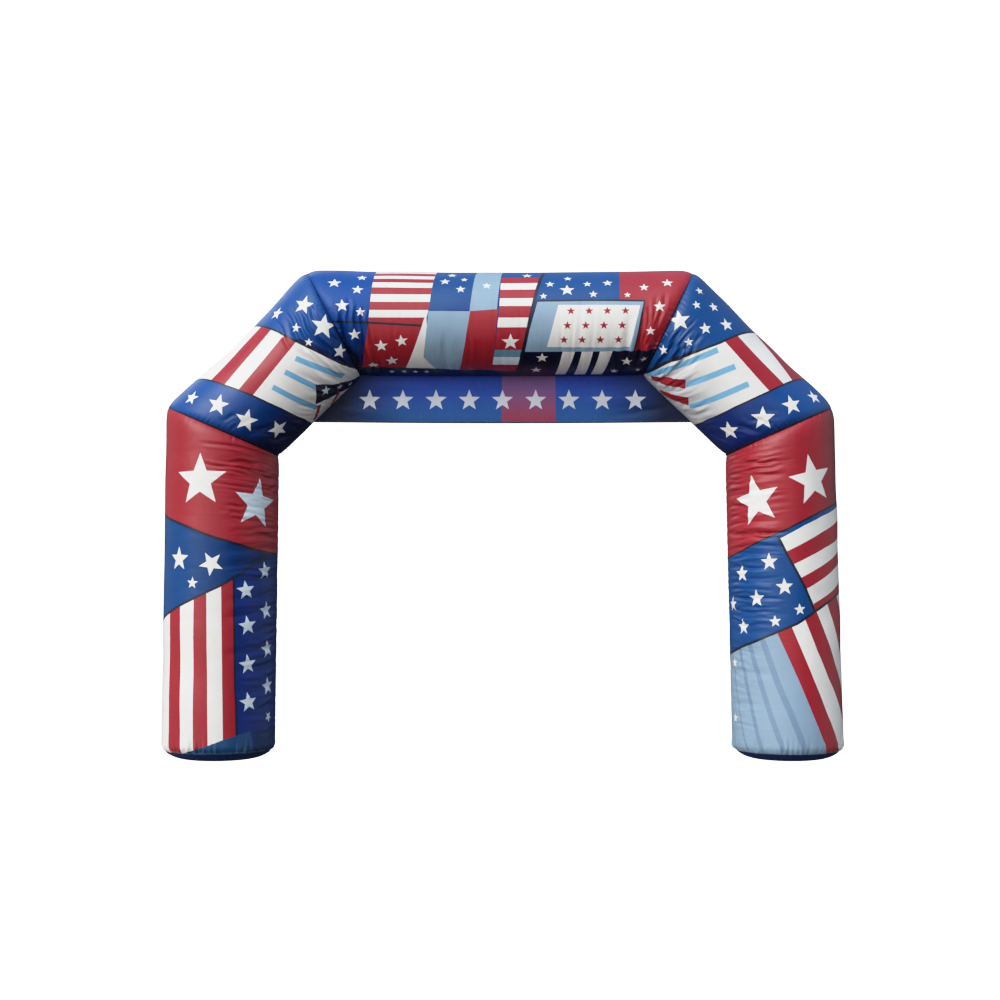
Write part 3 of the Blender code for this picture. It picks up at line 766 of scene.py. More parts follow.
# %% Right leg
leg = PRINTS["leg_right"] = Print("leg_right", "sky")
leg.line(.020, (.96, .69), (.80, .647), (.615, .615), (.37, .556), (.116, .483), (.02, .455), ink="slate")
leg.line(.040, (1.03, .555), (.694, .464), (.41, .395), (.125, .32), (.02, .29), ink="slate")
leg.line(.048, (1.08, .43), (.698, .31), (.413, .219), (.13, .121), (.02, .08), ink="slate")
leg.line(.055, (1.14, .30), (.70, .153), (.43, .042), (.13, -.071), (.02, -.115), ink="slate")
leg.bands(
    ["red", "white"] * 3,
    [(.02, -.345), (.10, -.307), (.264, -.228), (.408, -.165), (.72, -.036), (.926, .052), (1.20, .17)],
    [(.02, -.56), (.158, -.461), (.43, -.31), (.707, -.184), (.937, -.087), (1.26, .045)],
    [(.10, -.80), (.26, -.665), (.471, -.524), (.729, -.345), (.976, -.219), (1.32, -.08)],
    [(.30, -BLEED), (.50, -.70), (.717, -.546), (.853, -.455), (1.073, -.338), (1.37, -.20)],
    [(.62, -BLEED), (.80, -.70), (.99, -.556), (1.138, -.474), (1.358, -.37), (1.44, -.33)],
    [(.98, -BLEED), (1.12, -.75), (1.24, -.675), (1.351, -.603), (1.48, -.51)],
    [(1.40, -BLEED), (1.45, -.80), (1.50, -.70), (1.52, -.60)],
)
top_line = [(1.79, BLEED), (1.82, .65), (1.86, .483), (1.923, .332), (2.011, .11), (2.044, .03),
            (2.117, -.121), (2.192, -.297), (2.239, -.445), (2.272, -.606), (2.29, -.72),
            (2.29, -BLEED)]
low_line = [(.93, BLEED), (.969, .666), (1.063, .357), (1.218, -.036), (1.317, -.205), (1.389, -.351),
            (1.442, -.496), (1.50, -.68), (1.51, -BLEED)]
leg.patch("royal", *top_line[:5], *low_line[4::-1])
leg.bands(
    ["royal"] + ["white", "red"] * 3,
    top_line[4:],
    [(1.96, .10), (2.02, -.02), (2.073, -.124), (2.153, -.32), (2.225, -.57), (2.29, -BLEED)],
    [(1.847, .042), (1.922, -.12), (2.013, -.316), (2.11, -.59), (2.18, -BLEED)],
    [(1.733, -.014), (1.804, -.175), (1.874, -.342), (1.955, -.60), (2.02, -BLEED)],
    [(1.615, -.08), (1.688, -.235), (1.754, -.386), (1.84, -.60), (1.92, -BLEED)],
    [(1.516, -.125), (1.60, -.297), (1.676, -.461), (1.727, -.597), (1.81, -BLEED)],
    [(1.386, -.195), (1.447, -.332), (1.544, -.565), (1.66, -BLEED)],
    low_line[4:],
)
leg.patch("shaded_red", *top_line, (3.3, -BLEED), (3.3, BLEED))
leg.line(.016, *top_line)
leg.line(.022, (1.985, .118), (1.814, .036), (1.686, -.033), (1.534, -.112), (1.317, -.205))
leg.line(.022, *low_line)
leg.stars("white", (2.30, .31, .23, 13), (2.47, -.22, .23, 12), (1.76, .20, .08, 3), (1.66, .49, .08, 3),
          (1.54, .07, .08, 3), (1.44, .33, .08, 3), (1.39, .65, .07, 3), (1.19, .49, .075, 3),
          (1.34, -.06, .055, 5), (1.24, .16, .055, 5), (.87, .64, .05, 0), (.38, .66, .05, 0))
print("right leg:", len(leg.marks), "marks")

# %% [markdown]
# ## Print of the slopes
#
# Each slope has a blue band with four stars beside the elbow, a white panel with red stripes and
# light blue bars, and a blue star patch beside the crown. On the left a small dark patch with
# pale stars peeps out at the inner side, on the right two red wedges do.

# %% Left slope
slope = PRINTS["slope_left"] = Print("slope_left", "white")
band_line = [(.13, -BLEED), (.13, -.70), (.20, -.52), (.32, -.21), (.43, .03), (.53, .30), (.60, .56),
             (.63, BLEED)]
crown_line = [(.85, -BLEED), (.85, -.68), (.89, -.54), (1.03, -.06), (1.14, .24), (1.18, .37), (1.23, .51),
              (1.255, .60), (1.26, BLEED)]
slope.patch("red", (1.02, -.475), (1.06, -.32), (.28, -.215), (.18, -.37))
slope.patch("red", (1.10, -.17), (1.14, -.05), (.38, .04), (.30, -.08))
slope.line(.048, (.93, .06), (1.02, .27), (1.12, .52), ink="bar")
slope.line(.048, (.78, .08), (.90, .44), ink="bar")
slope.line(.048, (.61, .10), (.76, .58), ink="bar")
slope.patch("navy", (1.28, BLEED), (1.24, .76), (.89, .36), (.77, .53), (.98, .65), (1.10, .78),
            (1.12, BLEED))
slope.line(.036, (.79, .57), (.66, .73), ink="red")
slope.line(.036, (1.0, .64), (.86, .77), ink="red")
slope.patch("dusk", *band_line, (-.5, BLEED), (-.5, -BLEED))
slope.patch("dusk", *crown_line, (1.8, BLEED), (1.8, -BLEED))
# A lens of the shade ink along the crown line: a painted shadow beside the white panel.
slope.patch("shade", (1.03, -.06), (1.14, .24), (1.18, .37), (1.238, .53), (1.216, .42), (1.20, .35),
            (1.178, .24), (1.14, .09), (1.07, -.045))
slope.line(.016, *band_line)
slope.line(.018, *crown_line)
slope.stars("white", (.03, -.38, .075, -20), (.16, -.12, .10, -13), (.24, .15, .105, -15),
            (.38, .42, .095, 24), (1.09, -.41, .07, -20), (1.31, -.24, .095, -15),
            (1.30, .03, .115, -9), (1.12, -.13, .045, -8), (1.11, .04, .038, -5),
            (1.25, .29, .068, -10))
slope.stars("pale", (.92, .49, .05, 0), (1.03, .59, .035, 0), (1.12, .70, .035, 0))
print("left slope:", len(slope.marks), "marks")

# %% Right slope
slope = PRINTS["slope_right"] = Print("slope_right", "shaded_white")
band_line = [(.13, -BLEED), (.13, -.70), (.20, -.53), (.33, -.12), (.45, .20), (.54, .50), (.60, BLEED)]
crown_line = [(.77, -BLEED), (.77, -.68), (.81, -.52), (.94, -.12), (1.05, .12), (1.16, .37), (1.24, .73),
              (1.25, BLEED)]
slope.patch("red", (1.0, -.17), (.95, -.31), (.20, -.27), (.26, -.11))
slope.patch("red", (.86, -BLEED), (.74, -.575), (.64, -.53), (.24, -.39), (.1, -.36), (.0, -BLEED))
slope.line(.052, (.91, -.06), (1.01, .18), (1.13, .45), (1.22, .67), ink="bar")
slope.line(.052, (.70, -.06), (.90, .39), ink="bar")
slope.line(.052, (.51, -.03), (.74, .54), ink="bar")
slope.patch("red", (1.18, .61), (.935, .335), (.875, .415), (1.14, .66))
slope.patch("red", (1.04, .71), (.805, .46), (.75, .545), (1.0, .76))
slope.patch("evening", *band_line, (-.5, BLEED), (-.5, -BLEED))
slope.patch("royal", *crown_line, (1.8, BLEED), (1.8, -BLEED))
slope.line(.016, *band_line)
slope.line(.020, *crown_line)
# The outline widens here into a dark strip along the crown line's inner part: painted shade.
slope.patch("outline", (1.0, .01), (1.05, .12), (1.16, .37), (1.24, .70), (1.252, .68), (1.178, .365),
            (1.068, .11))
slope.stars("white", (.01, -.44, .075, 15), (.11, -.17, .095, 14), (.21, .10, .11, 1), (.34, .41, .095, 8),
            (1.39, -.38, .042, 12), (1.32, -.23, .042, 10), (1.20, -.36, .052, 12), (1.33, -.01, .10, 7),
            (1.12, -.12, .057, 8), (1.01, -.31, .067, 10), (1.14, .07, .042, 8), (1.25, .28, .045, 8))
print("right slope:", len(slope.marks), "marks")

# %% [markdown]
# ## Print of the beam
#
# The beam is the busiest: a dozen patches side by side, with stripes, star fields and a framed
# panel of twelve little red stars. Its underside is navy. On the beam `along` is simply X.

# %% Beam, left half
beam = PRINTS["top_beam"] = Print("top_beam", "deep")
beam.patch("bright", (-2.0, -BLEED), (-1.12, -BLEED), (-1.14, -.51), (-1.18, .08), (-1.27, .74),
           (-1.30, BLEED), (-2.0, BLEED))
# A navy triangle beside the crown seam: painted shade of the deep fold that runs there.
beam.patch("navy", (-1.475, .08), (-1.37, .28), (-1.30, .40), (-1.255, .50), (-1.262, .60),
           (-1.29, BLEED), (-2.0, BLEED), (-2.0, .08))
left_edge = [(-1.12, -BLEED), (-1.14, -.51), (-1.16, -.20), (-1.18, .08)]
right_edge = [(-.57, -BLEED), (-.59, -.50), (-.62, -.22), (-.68, .08)]


def level(line, around):
    """The point of a line at one place round the tube."""
    rounds = [point[1] for point in line]
    return float(np.interp(around, rounds, [point[0] for point in line])), around


levels = [-BLEED, -.72, -.64, -.56, -.49, -.43, -.37, -.30, -.22, -.14, -.06, .01, .075]
edges = [[level(left_edge, v), level(right_edge, v)] for v in levels]
beam.bands(["white", "red"] * 6, *edges)
beam.patch("red", (-1.18, .075), (-1.26, .60), (-.88, .60), (-.71, .075))
beam.patch("white", (-.67, -.04), (-.72, .12), (-.88, .60), (-.58, .60), (-.66, .2))
beam.patch("royal", (-.57, -BLEED), (-.20, -BLEED), (-.24, -.52), (-.28, -.06), (-.65, -.05), (-.60, -.51))
beam.patch("sky", (-.20, -BLEED), (.03, -BLEED), (-.01, -.51), (-.05, -.07), (-.29, -.05), (-.24, -.52))
beam.patch("sky", (-.65, -.05), (-.285, -.05), (-.39, .62), (-.60, .56), (-.70, .40))
beam.patch("red", (-.285, -.05), (-.04, -.07), (-.10, .64), (-.39, .64))
beam.line(.020, (-1.52, .05), (-1.17, .06), (-.71, .085))
beam.stars("white", (-1.49, -.36, .065, 0), (-1.25, -.45, .05, 0), (-1.28, -.27, .055, -5),
           (-1.41, -.10, .065, 3), (-1.25, -.04, .045, 0), (-1.30, .17, .058, 5), (-.51, -.39, .05, 0),
           (-.34, -.42, .035, 0), (-.45, -.52, .045, 0), (-.37, -.28, .045, 3), (-.14, -.33, .045, 0))
beam.stars("white", (-1.07, .28, .062, 5), (-.89, .23, .06, 8), (-.98, .45, .06, 5), (-1.15, .52, .05, 5))
print("beam, left half:", len(beam.marks), "marks")

# %% Beam, right half
beam.patch("royal", (.03, -BLEED), (1.05, -BLEED), (1.03, -.15), (.28, -.15), (.30, -.46), (.0, -.46))
left_edge = [(-.01, -.47), (-.03, -.06), (-.07, .32), (-.10, .60)]
right_edge = [(.34, -.47), (.27, -.06), (.20, .27), (.13, .64)]
levels = [-.47, -.37, -.28, -.18, -.10, .01, .10, .32, .40, .50, .60]
edges = [[level(left_edge, v), level(right_edge, v)] for v in levels]
beam.bands(["red", "white"] * 3 + ["red", "grey_blue", "pale", "red"], *edges)
beam.patch("sky", (.31, -.15), (1.25, -.15), (1.16, .35), (.18, .34))
beam.patch("white", (.49, -.11), (1.21, -.105), (1.12, .30), (.39, .29))
beam.patch("red", (1.05, -BLEED), (1.03, -.15), (1.25, -.15), (1.16, .35), (2.0, .35), (2.0, -BLEED))
beam.patch("navy", (.16, .34), (2.0, .34), (2.0, BLEED), (.10, BLEED))
beam.patch("navy", (-1.25, .545), (-.60, .56), (-.38, .58), (-.10, .59), (.14, .65), (.10, BLEED),
           (-1.29, BLEED))
beam.patch("white", (.53, .34), (.64, .34), (.56, .70), (.47, .70))
beam.patch("white", (.70, .34), (.80, .34), (.74, .70), (.64, .70))
beam.patch("white", (.86, .34), (.97, .34), (.89, .70), (.79, .70))
beam.line(.030, (.38, -.62), (.34, -.44), (.24, .03), (.18, .34), (.12, .68))
beam.line(.018, (.30, -.15), (.70, -.155), (1.25, -.15))
beam.line(.014, (1.25, -.15), (1.205, .10), (1.16, .35))
beam.stars("white", (.42, -.35, .043, 0), (.57, -.27, .068, 0), (.36, -.20, .035, 0),
           (.75, -.35, .04, 0), (.93, -.36, .047, 0), (.80, -.22, .04, 0), (.58, -.44, .04, 0),
           (.22, -.52, .05, 0), (.07, .24, .082, 0), (1.10, -.21, .032, 0), (1.25, -.30, .046, 0),
           (1.46, -.36, .055, 0), (1.38, -.09, .056, 0), (1.30, .14, .046, 0), (.35, .41, .058, 0),
           (.30, .59, .05, 0), (1.10, .47, .056, 0), (1.25, .44, .032, 0), (1.00, .62, .04, 0),
           (1.21, .61, .03, 0))
beam.stars("pale", *[(x, .625, .03, 0) for x in (-.99, -.88, -.78, -.68)])
beam.stars("red", *[(first + .16 * i, around, .040, 0)
                    for around, first in ((-.05, .60), (.085, .57), (.22, .54)) for i in range(4)])
print("beam:", len(beam.marks), "marks")

# %% [markdown]
# ## Cutting the printed cloth into triangles
#
# The mesh has to follow every edge of the print, and be fine enough for the creases. A constrained
# Delaunay triangulation does both: we give it the edges of all marks, cut into short steps, and
# fill the rest with a regular grid of points. Each triangle then takes the ink of
# the last mark that covers its middle. A grid with a painted picture would be simpler, but it would
# blur each edge when one looks closely.
#
# Most creases run round the tube, so the mesh has to be finer along it. The cloth is stretched along
# the tube while it is cut, and the triangles come out narrow when it is let go.

# %% Cutting
STRETCH = 2.2            # the triangles are this much finer along a tube than round it
EDGE_STEP = 0.015        # longest step on an edge of the print; along a tube, STRETCH times shorter
KEEP_CLEAR = 0.0060      # no grid point lies closer than this to a point of such an edge
SAME_POINT = 1e-5        # points closer than this are one point


def short_steps(corners):
    """A closed line through corners, with points no further apart than EDGE_STEP."""
    points = []
    for a, b in zip(corners, np.roll(corners, -1, axis=0)):
        count = max(1, int(np.ceil(np.hypot(STRETCH * (b[0] - a[0]), b[1] - a[1]) / EDGE_STEP)))
        points += [a + (b - a) * i / count for i in range(count)]
    return points


def inside(points, corners):
    """Which points lie inside a closed line."""
    low, high = corners.min(axis=0), corners.max(axis=0)
    found = np.zeros(len(points), bool)
    near = np.flatnonzero(((points >= low) & (points <= high)).all(axis=1))
    x, y = points[near, 0], points[near, 1]
    odd = np.zeros(len(near), bool)
    for (ax, ay), (bx, by) in zip(corners, np.roll(corners, -1, axis=0)):
        if ay != by:
            odd ^= ((ay > y) != (by > y)) & (x < (bx - ax) * (y - ay) / (by - ay) + ax)
    found[near] = odd
    return found


def cut(outline, marks, grid, ground, inks, stretch=STRETCH):
    """Flat points, triangles and the number of the ink of each triangle."""
    # the points on all edges first, then the grid points that keep clear of them
    points, edges = [], []
    for loop in [outline] + [corners for _, corners in marks]:
        steps = short_steps(loop) if loop is not outline else list(outline)
        first = len(points)
        points += steps
        edges += [(first + i, first + (i + 1) % len(steps)) for i in range(len(steps))]
    tree = KDTree(len(points))
    for i, (x, y) in enumerate(points):
        tree.insert((x * stretch, y, 0), i)
    tree.balance()
    points += [p for p in grid if tree.find((p[0] * stretch, p[1], 0))[2] > KEEP_CLEAR]
    stretched = [Vector((x * stretch, y)) for x, y in points]
    found = delaunay_2d_cdt(stretched, edges, [], 0, SAME_POINT, False)
    flat = np.array([(x / stretch, y) for x, y in found[0]])
    triangles = np.array(found[2])

    # each triangle takes the ink of the last mark that covers its middle
    middles = flat[triangles].mean(axis=1)
    kept = inside(middles, outline)
    triangles, middles = triangles[kept], middles[kept]
    names = list(inks)
    ink = np.full(len(triangles), names.index(ground))
    for name, corners in marks:
        ink[inside(middles, corners)] = names.index(name)
    used, triangles = np.unique(triangles, return_inverse=True)
    return flat[used], triangles.reshape(-1, 3), ink


square = np.array([(0, 0), (1, 0), (1, 1), (0, 1)], float)
print("inside a square:", inside(np.array([(0.5, 0.5), (1.5, 0.5)]), square).tolist())

# %% [markdown]
# ## Sewing the tubes
#
# The front half is cut flat, and the back half is its mirror image with the same print, because a
# gateway is seen from both sides. The two halves share their points on the outer and the inner line,
# so the tube is closed there. Each end is closed with a flat disc that lies inside the seam, hidden
# by the next tube.

# %% Making a mesh
SHARP = radians(60)      # edges sharper than this stay crisp


def make_object(name, places, faces, materials, ink=None, cloth_map=None):
    """A smooth-shaded object from numpy arrays, with its unrolled cloth as a UV map."""
    mesh = bpy.data.meshes.new(name)
    mesh.from_pydata([tuple(p) for p in places], [], [tuple(map(int, f)) for f in faces])
    for material in materials:
        mesh.materials.append(material)
    if ink is not None:
        mesh.polygons.foreach_set("material_index", np.asarray(ink, np.int32))
    if cloth_map is not None:
        corner_points = np.empty(len(mesh.loops), np.int32)
        mesh.loops.foreach_get("vertex_index", corner_points)
        layer = mesh.uv_layers.new(name="cloth")
        layer.data.foreach_set("uv", np.asarray(cloth_map, np.float32)[corner_points].ravel())
    mesh.shade_smooth()
    mesh.set_sharp_from_angle(angle=SHARP)
    mesh.update()
    thing = bpy.data.objects.new(name, mesh)
    bpy.context.scene.collection.objects.link(thing)
    return thing


def open_edges(triangles):
    """Directed edges that belong to one triangle only."""
    pairs = np.concatenate([triangles[:, [0, 1]], triangles[:, [1, 2]], triangles[:, [2, 0]]])
    keys = np.sort(pairs, axis=1)
    codes = keys[:, 0].astype(np.int64) * (keys.max() + 1) + keys[:, 1]
    _, where, counts = np.unique(codes, return_index=True, return_counts=True)
    return pairs[where[counts == 1]]


print("open edges of one triangle:", len(open_edges(np.array([(0, 1, 2)]))))


# %% Outline and grid of a tube
COLUMNS = 66             # grid columns across the front half
OUTLINE_COLUMNS = 131    # points along each end of it
ROWS = {"leg_left": 540, "leg_right": 540, "slope_left": 310, "slope_right": 310, "top_beam": 440}
ROW_CROWDING = 0.05      # the rows are closer together towards both ends
FINE_BESIDE_SEAM = 0.05  # the columns are twice as close this near to a seam
ROUGH_LENGTH = {"leg": 2.8, "slope": 1.2, "top": 3.0}   # to tell how near a row is to a seam
SMOOTH_BELOW = -0.20     # the outer side has few creases, so every other row leaves it out


def tube_ends(section, columns):
    """Where the cloth begins and ends, along the tube, at each place round it."""
    _, _, low, high = ruling(section, columns)
    if section.startswith("leg"):
        low = np.full_like(low, BASE_SEAM_HEIGHT)
    return low, high


def tube_outline(section):
    """Closed line round the front half of a section's cloth."""
    columns = np.linspace(-QUARTER, QUARTER, OUTLINE_COLUMNS)
    low, high = tube_ends(section, columns)
    side_count = int((high[-1] - low[-1]) / EDGE_STEP * STRETCH)
    inner = [(low[-1] + (high[-1] - low[-1]) * i / side_count, QUARTER) for i in range(1, side_count)]
    side_count = int((high[0] - low[0]) / EDGE_STEP * STRETCH)
    outer = [(high[0] + (low[0] - high[0]) * i / side_count, -QUARTER) for i in range(1, side_count)]
    bottom = list(zip(low, columns))
    top = list(zip(high, columns))[::-1]
    return np.array(bottom + inner + top + outer)


def tube_grid(section):
    """Grid points between the seams, closer together near each seam."""
    points = []
    rows = ROWS[section]
    length = ROUGH_LENGTH[section.split("_")[0]]
    for i in range(1, rows):
        even = i / rows
        share = even - ROW_CROWDING * sin(2 * pi * even)
        count = COLUMNS * 2 if min(share, 1 - share) * length < FINE_BESIDE_SEAM else COLUMNS
        columns = -QUARTER + 2 * QUARTER * (np.arange(count) + 0.25 + 0.5 * (i // 2 % 2)) / count
        if i % 2:
            columns = columns[columns > SMOOTH_BELOW]
        low, high = tube_ends(section, columns)
        points += list(zip(low + (high - low) * share, columns))
    return points


print("outline points:", {section: len(tube_outline(section)) for section in SECTIONS})


# %% Sewing the front to the back
ON_JOIN = 1e-4           # a point this close to a join lies on it


def sew_tube(section):
    """Cut, print and sew one section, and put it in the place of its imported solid."""
    sheet = PRINTS[section]
    flat, triangles, ink = cut(tube_outline(section), sheet.marks, tube_grid(section), sheet.ground, INKS)
    count = len(flat)
    along, around = flat[:, 0], flat[:, 1]
    front = cloth_place(section, along, around)
    back = cloth_place(section, along, HALF_TURN - around)

    # the back borrows the front's points on the two joins, and all triangles face outwards
    on_join = np.abs(np.abs(around) - QUARTER) < ON_JOIN
    back_number = np.where(on_join, np.arange(count), count + np.cumsum(~on_join) - 1)
    places = np.concatenate([front, back[~on_join]])
    cloth_map = np.concatenate([flat, flat[~on_join]])
    back_triangles = back_number[triangles]
    a, b, c = places[triangles[0]]
    if np.cross(b - a, c - a)[1] > 0:
        triangles = triangles[:, ::-1]
    else:
        back_triangles = back_triangles[:, ::-1]
    skin = np.concatenate([triangles, back_triangles])
    inks = np.concatenate([ink, ink])

    # a fan of triangles round a middle point closes each end
    rim = open_edges(skin)
    low_end = cloth_map[rim].mean(axis=1)[:, 0] < np.mean(cloth_map[:, 0])
    discs = []
    for end in (low_end, ~low_end):
        centre = places[rim[end]].reshape(-1, 3).mean(axis=0)
        places = np.concatenate([places, [centre]])
        cloth_map = np.concatenate([cloth_map, [cloth_map[rim[end][0, 0]]]])
        discs.append([(b, a, len(places) - 1) for a, b in rim[end]])
    faces = np.concatenate([skin, *discs])
    inks = np.concatenate([inks, np.full(len(faces) - len(inks), list(INKS).index("deep"))])

    tube = make_object("skin_" + section, places, faces, list(INKS.values()), inks, cloth_map)
    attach(tube, "root")
    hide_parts(section)
    print(tube.name, len(faces), "triangles")


for section in SECTIONS:
    sew_tube(section)

# %% [markdown]
# ## Base caps
#
# Each leg stands on a cap of navy cloth that is sewn to it 75 mm above the ground and
# rounds in to a flat underside. Rings of points follow the same rounding as the leg, with the
# small puckers of the seam at the top. It is a simple shape, so rings with four-sided faces between
# them do, and no cutting is needed.

# %% Base caps
BASE_CLOTH = coated_cloth("navy base cloth", linear(6, 46, 116), roughness=0.42, crumple=0.0015)
BASE_POINTS = 260        # round each ring
BASE_RINGS = 16          # from the seam down to the ground
BASE_CROWDING = 1.6      # the rings are closer together towards the ground
BASE_TOP = BASE_SEAM_HEIGHT - 0.0003
UNDERSIDE_RINGS = (0.75, 0.4)


def make_base(side):
    """One cap: rings from the seam to the ground, then two smaller ones on the flat underside."""
    around = np.linspace(-QUARTER, 3 * QUARTER, BASE_POINTS, endpoint=False)
    angle = around / TUBE_RADIUS + pi / 2
    centre, to_outer, to_front = seam_ellipse("ankle_" + side)
    spoke = np.cos(angle)[:, None] * to_outer + np.sin(angle)[:, None] * to_front
    length = np.linalg.norm(spoke, axis=1)
    rings, cloth_map = [], []
    for k in range(BASE_RINGS + 1):
        height = BASE_TOP * (1 - k / BASE_RINGS) ** BASE_CROWDING
        below = np.full(BASE_POINTS, BASE_TOP - height)
        inset = foot_inset(height) + BASE_SEAM_DRAW_IN * np.exp(-below / BASE_SEAM_REACH)
        inset = inset - seam_pucker(SEAM_PUCKER, below, around, "base_" + side)
        ring = centre + spoke * (1 - inset / length)[:, None]
        ring[:, 2] = height
        rings.append(ring)
        cloth_map += [(height, v) for v in around]
    for share in UNDERSIDE_RINGS:
        ring = centre + spoke * share * (1 - FOOT_ROUND_IN / length)[:, None]
        ring[:, 2] = 0
        rings.append(ring)
        cloth_map += [(-1 + share, v) for v in around]
    faces = []
    for k in range(len(rings) - 1):
        for i in range(BASE_POINTS):
            j = (i + 1) % BASE_POINTS
            faces.append((k * BASE_POINTS + i, k * BASE_POINTS + j,
                          (k + 1) * BASE_POINTS + j, (k + 1) * BASE_POINTS + i))
    last = (len(rings) - 1) * BASE_POINTS
    faces.append(tuple(range(BASE_POINTS)))
    faces.append(tuple(last + i for i in reversed(range(BASE_POINTS))))
    places = np.concatenate(rings)
    a, b, c = places[list(faces[0][:3])]
    if np.cross(b - a, c - a) @ (a - centre) < 0:
        faces = [face[::-1] for face in faces]
    base = make_object("skin_base_" + side, places, faces, [BASE_CLOTH], None, cloth_map)
    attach(base, "root")
    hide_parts("base_" + side)
    print(base.name, len(faces), "faces")


for side in ("left", "right"):
    make_base(side)

# %% [markdown]
# ## Seams: welt and thread
#
# Two tubes are sewn together with their raw edges folded in under a narrow binding, the welt, and a
# row of stitches on either side. Each is one joined mesh: a round cord along the seam, and many
# short stitches that lie on the cloth beside it. The thread is drawn a little into the
# cloth, so half of each stitch shows. The dark welt is thin on the outer side of the arch and grows
# thick towards the inner side, where it also stands for the shade in the seam's groove: painted shade.

# %% Welt and thread materials
def tinted(colour, factor):
    return (*[min(1.0, part * factor) for part in colour[:3]], 1)


def thread_material(name, colour):
    material = bpy.data.materials.new(name)
    material.use_nodes = True
    tree = material.node_tree
    shader = tree.nodes["Principled BSDF"]
    place = add_node(tree, "ShaderNodeTexCoord").outputs["Object"]
    uneven = noise(tree, place, 60, 3)
    ply = mix_colour(tree, uneven, tinted(colour, 0.75), tinted(colour, 1.2))
    tree.links.new(ply, shader.inputs["Base Color"])
    tree.links.new(rescale(tree, uneven, 0.3, 0.7, 0.5, 0.7), shader.inputs["Roughness"])
    shader.inputs["Specular IOR Level"].default_value = 0.2
    twist = add_node(tree, "ShaderNodeTexNoise", Vector=place, Scale=700.0, Detail=2.0)
    bump = add_node(tree, "ShaderNodeBump", Height=twist.outputs["Fac"], Strength=0.6, Distance=0.0004)
    tree.links.new(bump.outputs["Normal"], shader.inputs["Normal"])
    material.diffuse_color = colour
    return material


WELT_CLOTH = thread_material("navy welt", linear(4, 7, 20))
DARK_THREAD = thread_material("navy thread", linear(24, 30, 58))
PALE_THREAD = thread_material("pale thread", linear(168, 176, 190))
print("materials:", len(bpy.data.materials))


# %% A cord along a seam
CORD_SIDES = 8           # facets round the cord


def unit(vectors):
    return vectors / np.maximum(np.linalg.norm(vectors, axis=-1, keepdims=True), 1e-9)


def swept_ring(path, normals, radius):
    """A closed cord along a closed path, with a radius for each of its points."""
    count, sides = len(path), CORD_SIDES
    tangents = unit(np.roll(path, -1, axis=0) - np.roll(path, 1, axis=0))
    beside = unit(np.cross(tangents, normals))
    upright = np.cross(beside, tangents)
    places, faces = [], []
    for i in range(count):
        for k in range(sides):
            turn = 2 * pi * k / sides
            places.append(path[i] + radius[i] * (cos(turn) * beside[i] + sin(turn) * upright[i]))
    for i in range(count):
        j = (i + 1) % count
        for k in range(sides):
            m = (k + 1) % sides
            faces.append((i * sides + k, i * sides + m, j * sides + m, j * sides + k))
    return np.array(places), faces


print("3, 4 as a unit vector:", unit(np.array([3.0, 4.0])).round(2).tolist())


# %% Stitches
STITCH_SIDES = 6
# the four rings of a stitch: share of its length, of its radius, and how high its middle lies in radii
STITCH_RINGS = [(-0.5, 0.35, -0.6), (-0.25, 1.0, 0.35), (0.25, 1.0, 0.35), (0.5, 0.35, -0.6)]


def at(where, distance, rows):
    """The row of three values at a distance along a path, between those that are given."""
    return np.array([np.interp(where, distance, rows[:, axis]) for axis in range(3)])


def stitch_row(path, normals, pitch, length, radius):
    """Short rounded stitches along a closed path, each sunk into the cloth at its ends."""
    steps = np.linalg.norm(np.roll(path, -1, axis=0) - path, axis=1)
    total = steps.sum()
    distance = np.concatenate([[0], np.cumsum(steps)])
    closed = np.concatenate([path, path[:1]])
    closed_normals = np.concatenate([normals, normals[:1]])
    count = int(total / pitch)
    sides = STITCH_SIDES
    places, faces = [], []
    for s in range(count):
        middle = total * (s + 0.5) / count
        ends = [at(middle + share * length, distance, closed) for share in (-0.5, 0.5)]
        normal = unit(at(middle, distance, closed_normals))
        tangent = unit(ends[1] - ends[0])
        beside = np.cross(tangent, normal)
        first = len(places)
        for share, thick, lift in STITCH_RINGS:
            centre = (ends[0] + ends[1]) / 2 + (ends[1] - ends[0]) * share + normal * radius * lift
            for k in range(sides):
                turn = 2 * pi * k / sides
                places.append(centre + radius * thick * (cos(turn) * beside + sin(turn) * normal))
        rings = [range(first + r * sides, first + (r + 1) * sides) for r in range(len(STITCH_RINGS))]
        for ring, following in zip(rings, rings[1:]):
            for k in range(sides):
                m = (k + 1) % sides
                faces.append((ring[k], ring[m], following[m], following[k]))
        faces.append(tuple(reversed(rings[0])))
        faces.append(tuple(rings[-1]))
    return np.array(places), faces


print("points of one stitch:", STITCH_SIDES * len(STITCH_RINGS))

# %% Paths beside a seam
SEAM_POINTS = 420
FINGER = 0.004           # a short step on the cloth, to feel which way it faces


def normals_beside(path, toward):
    """Outward normals of the cloth on a closed path; toward runs along the cloth, off the path."""
    tangent = np.roll(path, -1, axis=0) - np.roll(path, 1, axis=0)
    normals = unit(np.cross(toward, tangent))
    outward = ((path - path.mean(axis=0)) * normals).sum(axis=1, keepdims=True)
    return normals * np.sign(outward)


def seam_path(section, at_start, distance):
    """A closed path on a section's cloth at a distance from one of its seams, and its normals."""
    around = np.linspace(-QUARTER, 3 * QUARTER, SEAM_POINTS, endpoint=False)
    start, end, low, high = ruling(section, around)
    length = np.linalg.norm(end - start, axis=1)
    share = distance / length if at_start else 1 - distance / length
    along = low + (high - low) * share
    path = cloth_place(section, along, around)
    toward = cloth_place(section, along - FINGER, around) - cloth_place(section, along + FINGER, around)
    return path, normals_beside(path, toward)


def joined(parts):
    """Many small meshes as one list of points and one of faces."""
    places, faces, first = [], [], 0
    for part_places, part_faces in parts:
        places.append(part_places)
        faces += [tuple(first + i for i in face) for face in part_faces]
        first += len(part_places)
    return np.concatenate(places), faces


